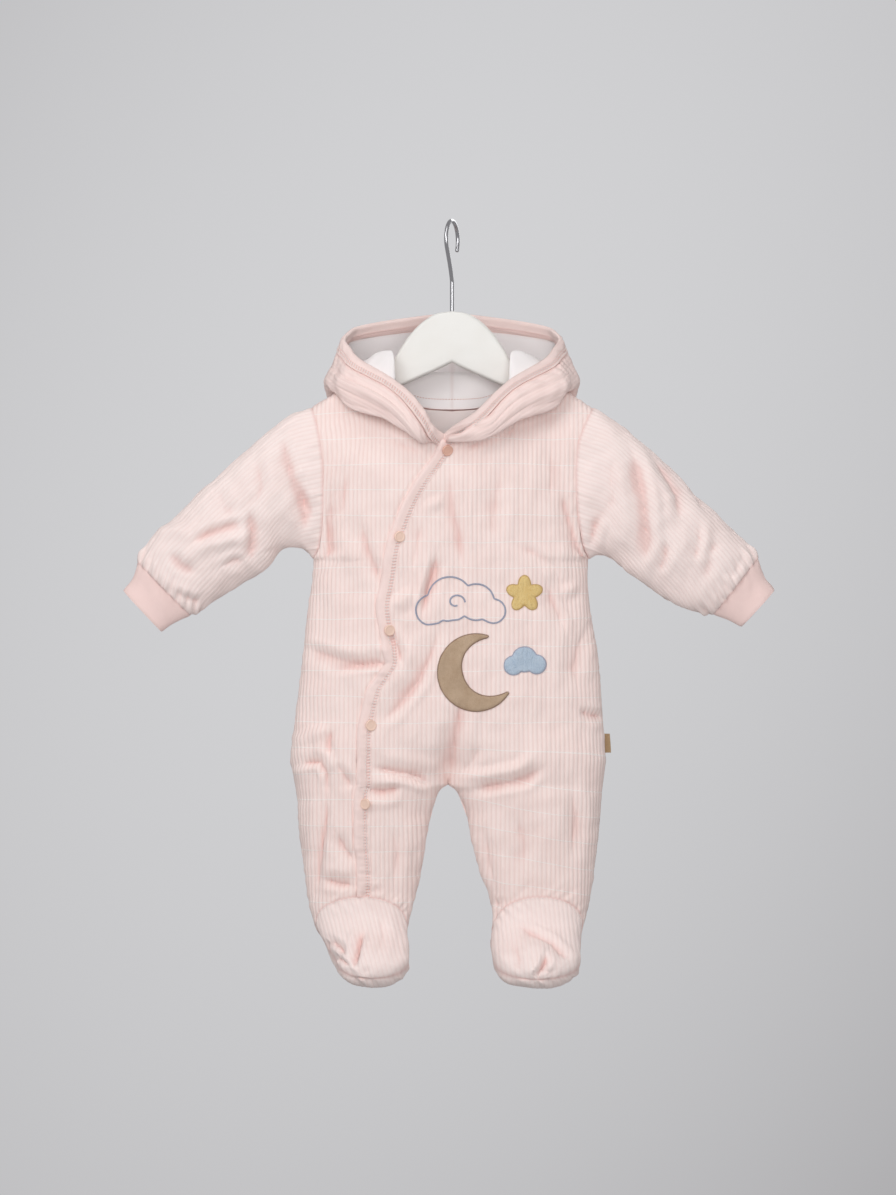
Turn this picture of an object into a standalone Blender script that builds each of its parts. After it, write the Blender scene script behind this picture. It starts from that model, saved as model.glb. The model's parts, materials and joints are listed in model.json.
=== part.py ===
"""A baby's padded, hooded and footed romper with a wrap front, on a child's wooden hanger.

The origin is the inner top of the hanger's hook, where it bears on a rail. +Z is up, the garment's front
faces -Y, and "left" and "right" in the tables are -X and +X. Tables and sizes are in millimetres, and the
meshes are made in metres.
"""

import math

import bpy
import numpy as np
from mathutils import Vector
from mathutils.bvhtree import BVHTree

MM = 0.001

# Driving dimensions
CLOTH = 3.0  # the padded rib cloth's wall
LINING = 1.4
BAND = 3.2  # the plain knit binding's wall
SAME = 0.02  # points nearer than this are one
SEAM = 0.3  # the gap that two pieces keep along a seam
CURVED_SEAM = 0.9  # and along one that curves, where their facets don't match
FOOT_SEAM = 1.5  # measured along the leg, which the vamp's seam crosses at a slant
HALF = SEAM / 2
CROTCH_X = -4.0
CROTCH_Z = -563.0
ARMPIT_Z = -338.0
SHOULDER_TIP_Z = -185.0
NECK_REACH = 75.0  # from the middle to where the neck meets the shoulder seam
SHOULDER_ROUND = 9.8  # the wall's radius over the hanger's arm
ARMHOLE_DEPTH = 24.0  # half, front to back
HOLLOW_BELOW_SHOULDER = 110.0  # how far down the chest takes to fill out
ARMHOLE_RISE = 55.0  # how far down the armhole takes to reach its depth
CLEFT_ROUND = 40.0  # how gently the two legs part
CLEFT_TOP = -478.0  # where the front starts to part into two legs
FULLNESS = 2.3  # the sections' exponent: 2 is an ellipse
OVERLAP = 26.0  # how far the underlap runs on below the overlap
BAND_WIDTH = 14.0
SNAP_RADIUS = 5.5
SNAP_PROFILE = ((1, 0), (1, 0.8), (0.84, 1.5), (0.44, 1.9))  # share of the radius, height above the band
PATCH_TOP = 1.8  # the appliques' faces, in front of the panel
PATCH_UNDER = 0.5
BOARD = 11.0  # the hanger board's thickness
WIRE = 2.0  # the hook wire's radius
HOOK_INSIDE = 17.0  # the hook's inner radius
HOOK_TURN = math.radians(18)


def columns(names, *rows):
    """A table as named columns."""
    return dict(zip(names.split(), np.array(rows, float).T))


TORSO = columns(
    "height left right front back",
    (-185, -141.0, 142.0, 30, 24),
    (-203, -135.5, 133.0, 32, 26),
    (-224, -131.4, 126.0, 34, 27),
    (-251, -129.0, 124.0, 36, 29),
    (-281, -129.0, 125.0, 37, 30),
    (-307, -130.6, 128.0, 37, 31),
    (-325, -133.0, 131.5, 37, 31),
    (-338, -139.0, 137.0, 37, 31),
    (-354, -140.0, 136.5, 37, 31),
    (-386, -145.0, 139.0, 38, 32),
    (-434, -150.0, 147.0, 40, 34),
    (-498, -158.0, 152.0, 41, 37),
    (-538, -162.0, 154.5, 40, 38),
    (-563, -158.0, 152.0, 36, 36),
)

# "along" runs down the leg from the crotch and then forward through the foot. "tilt" turns a section about
# X, in degrees: at 0 the tube runs down, at 90 it runs forward.
LEGS = {
    "left": columns(
        "along left right forward height tilt front back",
        (0, -158, -4, 0, -563, 0, 36, 36),
        (7, -157, -13, 0, -570, 0, 36, 36),
        (23, -155, -19, 0, -586, 0, 35, 35),
        (55, -153, -25, 0, -618, 0, 33, 32),
        (87, -148, -30, 0, -650, 0, 30, 28),
        (112, -145, -36, 1, -675, 3, 27, 25),
        (135, -140, -42, 4, -697, 14, 26, 25),
        (155, -132, -44, 12, -714, 32, 25, 25),
        (173, -123, -42, 25, -727, 48, 24, 25),
        (193, -115, -42, 42, -737, 58, 22, 24),
    ),
    "right": columns(
        "along left right forward height tilt front back",
        (0, -4, 152, 0, -563, 0, 36, 36),
        (7, 5, 151, 0, -570, 0, 36, 36),
        (23, 12, 150, 0, -586, 0, 35, 35),
        (55, 19, 147, 0, -618, 0, 33, 32),
        (87, 27, 143, 0, -650, 0, 30, 28),
        (112, 36.5, 139, 1, -675, 3, 27, 25),
        (135, 40, 134, 4, -697, 14, 26, 25),
        (155, 38.5, 130, 12, -714, 32, 25, 25),
        (173, 38.5, 129, 25, -727, 48, 24, 25),
        (193, 41, 128, 42, -738, 58, 23, 24),
    ),
}
BALL_ALONG = 193.0  # the last section, from which the toe rounds off
TOE_LENGTH = 34.0
TOE_TILT = math.radians(66)
FOOT_SIDE_ALONG = 152.0  # where vamp, sole and leg meet at the foot's sides
VAMP_TOP_ALONG = 112.0
HEEL_ALONG = 143.0

# From the armhole to the cuff's seam: the section's top and underside points, and half its depth.
SLEEVES = {
    "left": columns(
        "top_x top_z low_x low_z depth",
        (-164, -194, -152, -327, 27),
        (-195, -218, -170, -328, 29),
        (-222, -242, -184, -345, 29),
        (-249, -266, -206, -360, 28),
        (-275, -292, -228, -373, 26),
        (-300, -314, -248, -386, 22),
        (-315, -340, -262, -394, 16),
    ),
    "right": columns(
        "top_x top_z low_x low_z depth",
        (157, -194, 148, -334, 27),
        (187, -218, 164, -339, 29),
        (216, -242, 184, -357, 29),
        (240, -268, 204, -370, 28),
        (264, -290, 224, -382, 26),
        (290, -316, 243, -390, 22),
        (307, -335.5, 262, -393, 16),
    ),
}
CUFFS = {
    "left": columns(
        "top_x top_z low_x low_z depth",
        (-314.65, -341.1, -263.05, -393.65, 14),
        (-320.5, -357, -279, -401.5, 12),
        (-330, -368, -291, -410, 12),
    ),
    "right": columns(
        "top_x top_z low_x low_z depth",
        (306.8, -336.6, 263.0, -392.5, 14),
        (313.5, -355, 277.5, -398.5, 12),
        (323.6, -368, 290, -405, 12),
    ),
}

SHOULDER = columns(
    "reach height",
    (0, -82), (37, -104), (50, -115), (62, -131), (75, -143.5), (90, -153.5), (108, -164), (125, -174.5), (141, -185),
)
NECK = {
    "front": columns("reach height", (0, -216), (20, -212), (45, -197), (62, -179), (70, -161), (75, -143.5)),
    "back": columns("reach height", (0, -188), (30, -185.6), (55, -175), (68, -160), (75, -143.5)),
}
# The outer edge of the wrap's binding, from the neck to the vamp.
WRAP = columns(
    "height x",
    (-213.5, -10), (-234.5, -20), (-259, -37), (-280, -49), (-301.5, -58), (-324, -66), (-359, -71.6),
    (-386, -76), (-407, -73), (-425, -69), (-438.5, -68), (-458, -78.6), (-468, -85), (-521.6, -94.6),
    (-562, -94.6), (-588.5, -91), (-642, -94.6), (-700, -95),
)
SNAPS = columns("x z", (-5, -229), (-53, -315), (-63, -408), (-81, -502.5), (-85, -580.5))

# The heights of the panels' rows on their sides: the first eleven go round the armhole.
ARMHOLE_ROWS = (-185, -188.5, -196, -210, -232, -258, -284, -307, -324, -334, -338)
SIDE_ROWS = (-346, -370, -405, -440, -475, -505, -530, -548, -563)
TORSO_ROWS = ARMHOLE_ROWS + SIDE_ROWS
# Columns: where each panel's columns stand, as shares of its width in the leg, and in x along the neckline.
UNDER_SHARES = np.array((0, 0.09, 0.26, 0.52, 0.8, 1))
OVER_SHARES = np.array((0, 0.27, 0.56, 0.8, 0.93, 1))
RIGHT_SHARES = np.array((0, 0.04, 0.12, 0.24, 0.38, 0.54, 0.7, 0.84, 0.95, 1))
BACK_SHARES = np.array((0, 0.04, 0.12, 0.25, 0.4, 0.6, 0.75, 0.88, 0.96, 1))
UNDER_TOP = (-141, -125, -104, -75, -42, -10)
OVER_TOP = (4.9, 9, 13, 18, 22, 26)
RIGHT_TOP = (26, 42, 58, 68, 75, 90, 108, 125, 136, 142)
BACK_TOP_LEFT = (-141, -130, -112, -92, -75, -66, -52, -34, -18, -4)
BACK_TOP_RIGHT = (-4, 12, 30, 50, 66, 75, 92, 112, 131, 142)
TUCK = CLOTH + 0.7  # how far the underlap sinks below the overlap
HIDDEN_STEPS = np.array((0, 3, 13, OVERLAP))
LEG_ROWS = np.array((0, 0.06, 0.16, 0.32, 0.5, 0.68, 0.84, 1))
FOOT_ROWS = np.array((0, 0.12, 0.26, 0.42, 0.58, 0.7, 0.8, 0.9, 1))
WRAP_AT_ANKLE = 0.46  # the wrap's edge, as a share of the left leg's width


def read(table, name, at, key="height"):
    """One column of a table, on a smooth curve that never overshoots its rows."""
    order = np.argsort(table[key])
    knots = table[key][order]
    values = table[name][order]
    steps = np.diff(knots)
    slopes = np.diff(values) / steps
    product = slopes[1:] * slopes[:-1]
    total = np.where(product > 0, slopes[1:] + slopes[:-1], 1)
    inner = np.where(product > 0, 2 * product / total, 0)
    tangents = np.concatenate([slopes[:1], inner, slopes[-1:]])
    at = np.clip(at, knots[0], knots[-1])
    i = np.clip(np.searchsorted(knots, at) - 1, 0, len(steps) - 1)
    t = (at - knots[i]) / steps[i]
    rise = t * t * (3 - 2 * t)
    bend = t * (1 - t) * steps[i] * ((1 - t) * tangents[i] - t * tangents[i + 1])
    return values[i] * (1 - rise) + values[i + 1] * rise + bend


def smooth(t):
    t = np.clip(t, 0, 1)
    return t * t * (3 - 2 * t)


def dome(s, fullness=FULLNESS):
    """A section's rounded height, from 1 in its middle to 0 at s = -1 and 1."""
    return (1 - np.clip(np.abs(s), 0, 1) ** fullness) ** (1 / fullness)


# The trunk: a wall in front of and behind the (x, z) plane, which meet at the seams.


def shoulder(x):
    return read(SHOULDER, "height", np.abs(x), "reach")


def side_height(z, inset):
    """Round the armhole, the inner edge of the wall is a smaller loop."""
    middle = (SHOULDER_TIP_Z + ARMPIT_Z) / 2
    half = (SHOULDER_TIP_Z - ARMPIT_Z) / 2
    return np.where(z < ARMPIT_Z, z, middle + (z - middle) * (1 - inset / half))


def side(name, z, inset):
    """The left or right edge. Below the armpit the wall stands in from the side seam."""
    inwards = 1 if name == "left" else -1
    return read(TORSO, name, z) + inwards * inset * smooth((ARMPIT_Z - z) / 8)


def trunk_depth(x, z, face, inset):
    below = shoulder(x) - inset - z
    radius = SHOULDER_ROUND - inset
    cap = radius * np.sqrt(1 - (1 - np.clip(below / radius, 0, 1)) ** 2)
    full = cap + (read(TORSO, face, z) - SHOULDER_ROUND) * smooth(below / HOLLOW_BELOW_SHOULDER)
    middle = (SHOULDER_TIP_Z + ARMPIT_Z) / 2
    closing = np.clip((middle - z) / (middle - ARMPIT_Z - inset), 0, 1)
    arm = cap + (ARMHOLE_DEPTH - SHOULDER_ROUND) * smooth(below / ARMHOLE_RISE)
    arm = arm * np.sqrt(1 - closing**2)
    left = side("left", z, inset)
    right = side("right", z, inset)
    s = (2 * x - left - right) / (right - left)
    beside_sleeve = smooth((z - ARMPIT_Z) / 40)
    across = (1 - beside_sleeve) * dome(s) + beside_sleeve * (1 - np.clip(s, -1, 1) ** 2)
    one = arm + (full - arm) * across
    parted = smooth((CLEFT_TOP - z) / (CLEFT_TOP - CROTCH_Z - inset))
    from_side = np.maximum(np.where(x < CROTCH_X, x - left, right - x), 0)
    from_middle = np.hypot(x - CROTCH_X, CLEFT_ROUND * (1 - parted))
    two = full * dome((from_side - from_middle) / np.maximum(from_side + from_middle, 1e-6))
    return (1 - parted) * one + parted * two


def trunk(flat, face, inset):
    """Points of the wall over or under the (x, z) points."""
    x, z = flat[..., 0], flat[..., 1]
    outwards = -1 if face == "front" else 1
    return np.stack([x, outwards * (HALF + trunk_depth(x, z, face, inset)), z], axis=-1)


def fill(top, bottom, left, right):
    """(x, z) points filled in between four edges, which meet at their ends."""
    across = ((top[:, 0] - top[0, 0]) / (top[-1, 0] - top[0, 0]))[None, :, None]
    down = ((right[:, 1] - right[0, 1]) / (right[-1, 1] - right[0, 1]))[:, None, None]
    edges = (1 - down) * top[None] + down * bottom[None]
    edges = edges + (1 - across) * left[:, None] + across * right[:, None]
    corners = (1 - down) * ((1 - across) * top[0] + across * top[-1])
    corners = corners + down * ((1 - across) * bottom[0] + across * bottom[-1])
    return edges - corners


def top_edge(xs, face, inset):
    xs = np.array(xs, float)
    neck = read(NECK[face], "height", np.abs(xs), "reach")
    seam = shoulder(xs) - inset
    inside = np.abs(xs) < NECK_REACH
    return np.stack([xs, np.where(inside, np.minimum(neck, seam), seam)], axis=-1)


def falling(top, x_at, inset):
    """An edge from the neckline down to the crotch's height, with as many rows as the sides have."""
    rows = np.array(TORSO_ROWS, float)
    share = (rows - rows[0]) / (rows[-1] - rows[0])
    z = top[1] + (CROTCH_Z + inset - top[1]) * share
    x = x_at(z)
    return np.stack([x + (top[0] - x[0]) * (1 - share), z], axis=-1)


def side_edge(name, inset):
    z = side_height(np.array(TORSO_ROWS, float), inset)
    z[-1] = CROTCH_Z + inset
    return np.stack([side(name, z, inset), z], axis=-1)


def wrap_x(z):
    return read(WRAP, "x", z)


def band_x(z):
    return wrap_x(z) + BAND_WIDTH


def middle_x(z):
    """The line that the front's columns part on: the crotch's, and over to the right near the neck."""
    return CROTCH_X + 30 * np.clip((z - CLEFT_TOP) / (-214 - CLEFT_TOP), 0, 1) ** 2


def block(top_xs, shares, left, right, face, inset):
    """A panel's stretch above the crotch, from its neckline to the crotch's height."""
    bottom_x = left[-1, 0] + (right[-1, 0] - left[-1, 0]) * np.asarray(shares)
    bottom = np.stack([bottom_x, np.full(len(bottom_x), left[-1, 1])], axis=-1)
    return fill(top_edge(top_xs, face, inset), bottom, left, right)


# The legs and feet: sections along a tube that turns forward at the ankle.


def leg(name, along, share, face, inset):
    table = LEGS[name]
    here = np.minimum(along, BALL_ALONG)
    at = {column: read(table, column, here, "along") for column in table if column != "along"}
    inseam = smooth(along / 8)
    from_left = inset * (inseam if name == "right" else 1)
    from_right = inset * (inseam if name == "left" else 1)
    left = at["left"] + from_left
    right = at["right"] - from_right
    x = at["left"] + share * (at["right"] - at["left"])
    x = x + from_left * (1 - share) ** 6 - from_right * share**6
    across = (2 * x - left - right) / (right - left)
    toe = np.clip((along - BALL_ALONG) / TOE_LENGTH, 0, 1) * math.pi / 2
    x = (left + right) / 2 + across * (right - left) / 2 * np.cos(toe)
    reach = HALF + (at[face] - inset) * dome(across) * np.cos(toe)
    ahead = (TOE_LENGTH - inset) * np.sin(toe)
    outwards = -1 if face == "front" else 1
    tilt = np.radians(at["tilt"])
    y = -at["forward"] - ahead * math.sin(TOE_TILT) + outwards * reach * np.cos(tilt)
    z = at["height"] - ahead * math.cos(TOE_TILT) - outwards * reach * np.sin(tilt)
    return np.stack([x, y, z + inset * np.clip(1 - along / 20, 0, 1)], axis=-1)


def arch(share, top):
    """How far along the leg its panel ends: an arch over the instep, or under the heel."""
    return FOOT_SIDE_ALONG - (FOOT_SIDE_ALONG - top) * dome(2 * share - 1, 2)


def leg_wall(name, shares_at, face, inset, end):
    """A leg panel from the crotch to its arch; shares_at gives the columns' shares at a place along the leg."""
    last = shares_at(VAMP_TOP_ALONG)
    along = LEG_ROWS[:, None] * arch(last, end)[None]
    shares = np.array([shares_at(row * VAMP_TOP_ALONG) for row in LEG_ROWS])
    return leg(name, along, shares, face, inset)


def foot_wall(name, shares, face, start, inset):
    along = arch(shares, start)[None] + FOOT_SEAM
    along = along + FOOT_ROWS[:, None] * (BALL_ALONG + TOE_LENGTH - along)
    return leg(name, along, np.broadcast_to(shares, along.shape), face, inset)


def wrap_share(along, beyond=0.0):
    """A place this far beyond the wrap's edge, as a share of the left leg's width."""
    table = LEGS["left"]
    left, right = (read(table, name, along, "along") for name in ("left", "right"))
    at_crotch = (wrap_x(CROTCH_Z) - table["left"][0]) / (table["right"][0] - table["left"][0])
    edge = at_crotch + (WRAP_AT_ANKLE - at_crotch) * along / VAMP_TOP_ALONG
    return edge + beyond / (right - left)


def over_shares(along):
    start = wrap_share(along, BAND_WIDTH + CURVED_SEAM)
    return start + (1 - start) * OVER_SHARES


def under_shares(along):
    return wrap_share(along) * UNDER_SHARES


def hidden_shares(along):
    return wrap_share(along, HIDDEN_STEPS)


def band_shares(along):
    return wrap_share(along, BAND_WIDTH * np.array((0, 0.5, 1)))


# Making the pieces


def material(name, colour, roughness, metallic=0.0):
    made = bpy.data.materials.new(name)
    made.use_nodes = True
    shader = made.node_tree.nodes["Principled BSDF"]
    shader.inputs["Base Color"].default_value = (*colour, 1)
    shader.inputs["Roughness"].default_value = roughness
    shader.inputs["Metallic"].default_value = metallic
    return made


def add_object(name, points, faces, finish):
    """A mesh object from points in millimetres, with its faces turned outwards."""
    mesh = bpy.data.meshes.new(name)
    mesh.from_pydata([tuple(np.asarray(point) * MM) for point in points], [], faces)
    volume = 0.0
    for polygon in mesh.polygons:
        volume += polygon.normal.dot(polygon.center) * polygon.area
    if volume < 0:
        mesh.flip_normals()
    mesh.materials.append(finish)
    mesh.shade_smooth()
    mesh.set_sharp_from_angle(angle=math.radians(40))
    made = bpy.data.objects.new(name, mesh)
    bpy.context.scene.collection.objects.link(made)
    return made


def shell(name, patches, finish):
    """One closed wall from grids of outer points and the inner points behind them.

    Equal points are one. Both faces are split along the same diagonals, so that layers stay parallel.
    """
    outside = np.empty((0, 3))
    inside = np.empty((0, 3))
    faces = []
    for outer, inner in patches:
        ids = np.empty(outer.shape[:2], int)
        for place in np.ndindex(ids.shape):
            apart = np.linalg.norm(outside - outer[place], axis=1)
            if not len(apart) or apart.min() > SAME:
                ids[place] = len(outside)
                outside = np.vstack([outside, outer[place]])
                inside = np.vstack([inside, inner[place]])
            else:
                ids[place] = apart.argmin()
        for r, c in np.ndindex(ids.shape[0] - 1, ids.shape[1] - 1):
            low_left, low_right = int(ids[r + 1, c]), int(ids[r + 1, c + 1])
            high_left, high_right = int(ids[r, c]), int(ids[r, c + 1])
            for ring in ((high_left, low_left, low_right), (high_left, low_right, high_right)):
                if len(set(ring)) == 3:
                    faces.append(ring)
    count = len(outside)
    edges = {(ring[k - 1], ring[k]) for ring in faces for k in range(3)}
    walls = [(b, a, a + count, b + count) for a, b in sorted(edges) if (b, a) not in edges]
    backs = [[one + count for one in reversed(ring)] for ring in faces]
    return add_object(name, np.vstack([outside, inside]), faces + backs + walls, finish)


def both(make, thickness, lift=0.0):
    """A grid's outer points and its inner ones."""
    return make(-lift), make(thickness)


def front_overlap(finish):
    def strip(inset):
        top = top_edge(OVER_TOP, "front", inset)
        left = falling(top[0], lambda z: band_x(z) + CURVED_SEAM, inset)
        right = falling(top[-1], middle_x, inset)
        return trunk(block(OVER_TOP, OVER_SHARES, left, right, "front", inset), "front", inset)

    def main(inset):
        top = top_edge(RIGHT_TOP, "front", inset)
        left = falling(top[0], middle_x, inset)
        right = side_edge("right", inset)
        return trunk(block(RIGHT_TOP, RIGHT_SHARES, left, right, "front", inset), "front", inset)

    patches = [both(strip, CLOTH), both(main, CLOTH)]
    patches.append(both(lambda inset: leg_wall("left", over_shares, "front", inset, VAMP_TOP_ALONG), CLOTH))
    patches.append(
        both(lambda inset: leg_wall("right", lambda along: RIGHT_SHARES, "front", inset, VAMP_TOP_ALONG), CLOTH)
    )
    return shell("front_overlap", patches, finish)


def front_underlap(finish):
    sinking = np.where(UNDER_SHARES < 1, 0, TUCK)

    def seen(inset):
        top = top_edge(UNDER_TOP, "front", inset)
        left = side_edge("left", inset)
        right = falling(top[-1], wrap_x, inset)
        flat = block(UNDER_TOP, UNDER_SHARES, left, right, "front", inset)
        return trunk(flat, "front", inset + sinking)

    def hidden(inset):
        top_xs = UNDER_TOP[-1] + HIDDEN_STEPS
        top = top_edge(top_xs, "front", inset)
        left = falling(top[0], wrap_x, inset)
        right = falling(top[-1], lambda z: wrap_x(z) + OVERLAP, inset)
        flat = block(top_xs, HIDDEN_STEPS / OVERLAP, left, right, "front", inset)
        return trunk(flat, "front", inset + TUCK)

    def seen_leg(inset):
        return leg_wall("left", under_shares, "front", inset + sinking, VAMP_TOP_ALONG)

    def hidden_leg(inset):
        return leg_wall("left", hidden_shares, "front", inset + TUCK, VAMP_TOP_ALONG)

    return shell("front_underlap", [both(make, CLOTH) for make in (seen, hidden, seen_leg, hidden_leg)], finish)


def wrap_binding(finish):
    def trunk_band(inset):
        tops = np.array((WRAP["x"][0], WRAP["x"][0] + BAND_WIDTH / 2, WRAP["x"][0] + BAND_WIDTH))
        top = top_edge(tops, "front", inset)
        left = falling(top[0], wrap_x, inset)
        right = falling(top[-1], band_x, inset)
        return trunk(block(tops, (0, 0.5, 1), left, right, "front", inset), "front", inset)

    def leg_band(inset):
        return leg_wall("left", band_shares, "front", inset, VAMP_TOP_ALONG)

    proud = BAND - CLOTH
    return shell("wrap_binding", [both(trunk_band, CLOTH, proud), both(leg_band, CLOTH, proud)], finish)


def back_half(name, inset):
    """Half of the back above the crotch, from its side seam to its middle."""
    tops = BACK_TOP_LEFT if name == "left" else BACK_TOP_RIGHT
    top = top_edge(tops, "back", inset)
    middle = falling(top[-1 if name == "left" else 0], lambda z: np.full_like(z, CROTCH_X), inset)
    edges = (side_edge("left", inset), middle) if name == "left" else (middle, side_edge("right", inset))
    return trunk(block(tops, BACK_SHARES, *edges, "back", inset), "back", inset)


def back(finish):
    makers = []
    for name in ("left", "right"):
        makers.append(lambda inset, name=name: back_half(name, inset))
        makers.append(lambda inset, name=name: leg_wall(name, lambda along: BACK_SHARES, "back", inset, HEEL_ALONG))
    return shell("back", [both(make, CLOTH) for make in makers], finish)


def back_neck_lining(finish):
    """The lining on the back's inner side, as far as the open neck shows it."""
    depth = CLOTH + CURVED_SEAM
    seen = {"left": np.s_[:6, 6:], "right": np.s_[:6, :4]}
    patches = [(back_half(name, depth)[part], back_half(name, depth + LINING)[part]) for name, part in seen.items()]
    return shell("back_neck_lining", patches, finish)


def feet(vamp_finish, sole_finish):
    fronts = {
        "left": np.concatenate([under_shares(VAMP_TOP_ALONG), over_shares(VAMP_TOP_ALONG)]),
        "right": RIGHT_SHARES,
    }
    for name, shares in fronts.items():
        upper = both(lambda inset: foot_wall(name, shares, "front", VAMP_TOP_ALONG, inset), CLOTH)
        lower = both(lambda inset: foot_wall(name, BACK_SHARES, "back", HEEL_ALONG, inset), CLOTH)
        shell(f"vamp_{name}", [upper], vamp_finish)
        shell(f"sole_{name}", [lower], sole_finish)


# Sleeves and cuffs: closed rings from the armhole outwards.


def ring_angles():
    """One angle for each armhole row: 0 on top and pi underneath."""
    middle = (SHOULDER_TIP_Z + ARMPIT_Z) / 2
    half = (SHOULDER_TIP_Z - ARMPIT_Z) / 2
    return np.arccos(np.clip((np.array(ARMHOLE_ROWS) - middle) / half, -1, 1))


def around(front, behind):
    """A closed ring from its front half and its back half, which share their ends."""
    return np.concatenate([front, behind[-2:0:-1], front[:1]])


def armhole(name, inset):
    """The body's own edge round the armhole, moved out by the seam's gap."""
    z = side_height(np.array(ARMHOLE_ROWS, float), inset)
    flat = np.stack([side(name, z, inset), z], axis=-1)
    ring = around(trunk(flat, "front", inset), trunk(flat, "back", inset))
    ends = (0, len(z) - 1, len(ring) - 1)
    ring[ends, 1] = 0
    ring[:, 0] += -CURVED_SEAM if name == "left" else CURVED_SEAM
    return ring


def section(row, inset):
    """A sleeve's or cuff's ring from its top point, its underside point and its depth."""
    angles = ring_angles()
    upper = np.array((row["top_x"], 0, row["top_z"]))
    lower = np.array((row["low_x"], 0, row["low_z"]))
    half = (upper - lower) / 2
    half = half * (1 - inset / np.linalg.norm(half))
    depth = np.array((0, row["depth"] - inset, 0))
    rise = np.cos(angles)[:, None] * half + (upper + lower) / 2
    swell = np.sin(angles)[:, None] * depth
    return around(rise - swell, rise + swell)


def rows_of(table):
    count = len(next(iter(table.values())))
    return [{name: values[k] for name, values in table.items()} for k in range(count)]


def sleeve(name, finish):
    def rings(inset):
        return np.array([armhole(name, inset)] + [section(row, inset) for row in rows_of(SLEEVES[name])])

    return shell(f"sleeve_{name}", [both(rings, CLOTH)], finish)


def cuff(name, finish):
    def rings(inset):
        return np.array([section(row, inset) for row in rows_of(CUFFS[name])])

    return shell(f"cuff_{name}", [both(rings, 2.5)], finish)


# The hood: profiles from the neck's seam over a fold, down and out, and up to the rim, at stations round
# the neck from the throat to the middle of the back.
HOOD = columns(
    "neck_x face fold_x fold_y fold_z low_x low_y low_z out_x out_y out_z up_x up_y up_z rim_x rim_y rim_z",
    (-6, -1, -6, -37, -213.5, -6, -41, -212, -5, -44, -209.5, -4, -45.5, -206, -4, -45, -201),
    (30, -1, 32, -40, -209.5, 35, -48, -214, 35.5, -53, -205, 32, -50, -194, 28, -43, -183),
    (57, -1, 61, -32, -190, 68, -44, -200, 70, -49, -184, 64, -44, -168, 57, -34, -158),
    (71, -1, 86, -18, -168, 103, -28, -186, 110, -30, -168, 103, -24, -150, 91, -16, -137),
    (74, -1, 89, -10, -151, 111, -14, -171, 121, -13, -164, 113, -9, -143, 103, -4, -124),
    (75, 0, 94, 5, -148, 119, 7, -167, 129, 8, -159, 121, 9, -140, 110, 10, -115),
    (73, 1, 89, 15, -150, 113, 26, -181, 124, 33, -172, 116, 31, -139, 105, 27, -109),
    (64, 1, 76, 26, -155, 104, 46, -198, 116, 58, -180, 108, 53, -140, 94, 43, -105),
    (36, 1, 41, 32, -153, 58, 62, -224, 64, 79, -196, 58, 75, -140, 50, 57, -98),
    (0, 1, 0, 34, -153, 0, 66, -232, 0, 85, -200, 0, 81, -140, 0, 61, -93),
)
HOOD_PLACES = np.array((0, 0.5, 1, 1.5, 2, 2.6, 3.2, 3.7, 4.3, 4.8, 5.4, 6, 7, 8, 9))  # from throat to back
HOOD_ROWS = np.linspace(0, 1, 10)
RIM_WIDTH = 14.0
NECK_GAP = 2.2


def neck_point(x, facing):
    """The hood's lower end, just above the body's neck seam."""
    face = "front" if facing < 0.5 else "back"
    point = top_edge((x,), face, 0.0)
    return trunk(point, face, 0.0)[0] + np.array((0, 0, NECK_GAP))


def hood_controls():
    """Control points of the whole loop, from the left throat round the back to the right throat."""
    stations = []
    for row in rows_of(HOOD):
        points = [neck_point(row["neck_x"], row["face"])]
        points += [[row[f"{name}_{axis}"] for axis in "xyz"] for name in ("fold", "low", "out", "up", "rim")]
        stations.append(np.array(points))
    mirrored = [points * (-1, 1, 1) for points in stations[1:]]
    tucked = stations[0] + (-12, 5, 0)
    tucked[0] = neck_point(-18.0, -1) + (0, TUCK, 0)
    return np.array([tucked] + mirrored + stations[-2::-1])


def spline(points, at):
    """A smooth curve through points, read at a place counted in points."""
    at = np.clip(np.asarray(at, float), 0, len(points) - 1)
    start = np.minimum(at.astype(int), len(points) - 2)
    padded = np.concatenate([2 * points[:1] - points[1:2], points, 2 * points[-1:] - points[-2:-1]])
    t = (at - start).reshape(at.shape + (1,) * (points.ndim - 1))
    a, b, c, d = (padded[start + k] for k in range(4))
    return b + t * (c - a) / 2 + t**2 * (2 * a - 5 * b + 4 * c - d) / 2 + t**3 * (3 * b - a - 3 * c + d) / 2


def hood_wall(places, steps, inset):
    """The hood's wall at places round the loop; each step is a share, from the rim down to the neck."""
    controls = hood_controls()
    fine = np.linspace(0, controls.shape[1] - 1, 121)
    grid = []
    for place in places:
        here, before, after = (spline(spline(controls, place + shift), fine) for shift in (0, -0.02, 0.02))
        run = np.concatenate([[0], np.cumsum(np.linalg.norm(np.diff(here, axis=0), axis=1))])
        along = np.gradient(here, axis=0)
        outwards = np.cross(along, after - before)
        outwards /= np.linalg.norm(outwards, axis=1, keepdims=True)
        wanted = run[-1] - np.array([step(run[-1]) for step in steps])
        wall = here - outwards * inset
        grid.append(np.stack([np.interp(wanted, run, wall[:, axis]) for axis in range(3)], axis=-1))
    return np.stack(grid, axis=1)


def rim_width(length):
    return min(RIM_WIDTH, 0.45 * length)


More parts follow.
